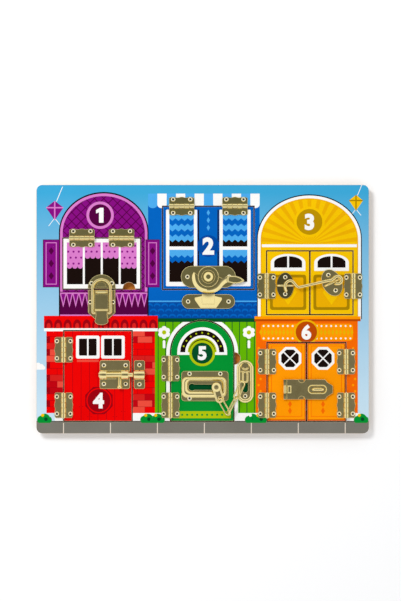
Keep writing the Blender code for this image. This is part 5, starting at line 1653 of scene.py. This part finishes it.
class LATCH_BOARD_OT_stage(Step, bpy.types.Operator):
    """Lays out the table, the lights and the camera over the board"""

    bl_idname = "latch_board.stage"
    bl_label = "Table, Lights and Camera"

    def build(self, scene):
        stage = scene.latch_board_stage
        self.table()
        self.room(scene, stage.room)
        self.key(stage.key_power)
        lens = bpy.data.cameras.new("camera")
        lens.lens = 85
        lens.sensor_width = 36
        scene.camera = linked("camera", lens)
        scene.camera.location = (-0.0026, 0.0104, stage.camera_height)
        scene.view_settings.view_transform = "Standard"

    def table(self):
        mesh = bpy.data.meshes.new("table")
        corners = [(x, y, 0) for x, y in rectangle(-6, 6, -6, 6)]
        mesh.from_pydata(corners, [], [(0, 1, 2, 3)])
        material = bpy.data.materials.new("white_table")
        material.use_nodes = True
        sockets = material.node_tree.nodes["Principled BSDF"].inputs
        sockets["Base Color"].default_value = (0.97, 0.97, 0.97, 1)
        sockets["Roughness"].default_value = 0.9
        sockets["Specular IOR Level"].default_value = 0.0
        mesh.materials.append(material)
        table = linked("table", mesh)
        table.location.z = -0.0003

    def room(self, scene, strength):
        """A bright room with a darker patch overhead, which the flats of the catches mirror."""
        scene.world = bpy.data.worlds.new("room")
        scene.world.use_nodes = True
        tree = scene.world.node_tree
        background = tree.nodes["Background"]
        background.inputs["Strength"].default_value = strength
        way = node(tree, "ShaderNodeTexCoord").outputs["Generated"]
        inputs = [(0, way), (1, (0.0, 0.105, 0.9945))]
        overhead = node(tree, "ShaderNodeVectorMath", inputs, operation="DOT_PRODUCT")
        ramp = node(tree, "ShaderNodeValToRGB", [("Fac", overhead.outputs["Value"])])
        steps = ramp.color_ramp.elements
        steps[0].position, steps[0].color = 0.0, (0.965, 0.985, 1.03, 1)
        steps[1].position, steps[1].color = 1.0, (0.15, 0.165, 0.12, 1)
        levels = {0.8: 1.2, 0.87: 1.1, 0.9: 0.6, 0.92: 0.29, 0.96: 0.27, 0.98: 0.25, 0.99: 0.21}
        for position, level in levels.items():
            steps.new(position).color = (level, level, level, 1)
        tree.links.new(ramp.outputs["Color"], background.inputs["Color"])

    def key(self, power):
        data = bpy.data.lights.new("key", "AREA")
        data.shape = "DISK"
        data.size = 0.5
        data.energy = power
        lamp = linked("key", data)
        lamp.location = (-0.75, 0.85, 1.5)
        lamp.visible_glossy = False
        lamp.rotation_euler = (-lamp.location).to_track_quat("-Z", "Y").to_euler()


class LATCH_BOARD_PT_panel(bpy.types.Panel):
    """Lists the parts of the board's finish, with their settings"""

    bl_idname = "LATCH_BOARD_PT_panel"
    bl_label = "Latch Board"
    bl_space_type = "VIEW_3D"
    bl_region_type = "UI"
    bl_category = "Latch Board"

    def draw(self, context):
        for group in SETTINGS:
            settings = getattr(context.scene, group)
            column = self.layout.column()
            for name in settings.__annotations__:
                column.prop(settings, name)
        for operator in STEPS:
            self.layout.operator(operator.bl_idname)


STEPS = (
    LATCH_BOARD_OT_raw_wood,
    LATCH_BOARD_OT_front_print,
    LATCH_BOARD_OT_leaf_prints,
    LATCH_BOARD_OT_pictures,
    LATCH_BOARD_OT_hinges,
    LATCH_BOARD_OT_draw_latch,
    LATCH_BOARD_OT_sash_lock,
    LATCH_BOARD_OT_hook_and_eye,
    LATCH_BOARD_OT_barrel_bolt,
    LATCH_BOARD_OT_chain_guard,
    LATCH_BOARD_OT_hasp,
    LATCH_BOARD_OT_stage,
)
SETTINGS = {
    "latch_board_paint": LatchBoardPaint,
    "latch_board_metal": LatchBoardMetal,
    "latch_board_stage": LatchBoardStage,
}


def register():
    for kind in (*SETTINGS.values(), *STEPS, LATCH_BOARD_PT_panel):
        bpy.utils.register_class(kind)
    for name, kind in SETTINGS.items():
        setattr(bpy.types.Scene, name, bpy.props.PointerProperty(type=kind))


def unregister():
    for name in SETTINGS:
        delattr(bpy.types.Scene, name)
    for kind in (LATCH_BOARD_PT_panel, *reversed(STEPS), *SETTINGS.values()):
        bpy.utils.unregister_class(kind)


def main():
    register()
    for step in STEPS:
        group, name = step.bl_idname.split(".")
        getattr(getattr(bpy.ops, group), name)()
    template = bpy.data.meshes.get("screw_template")
    if template:
        bpy.data.meshes.remove(template)


if __name__ == "__main__":
    main()
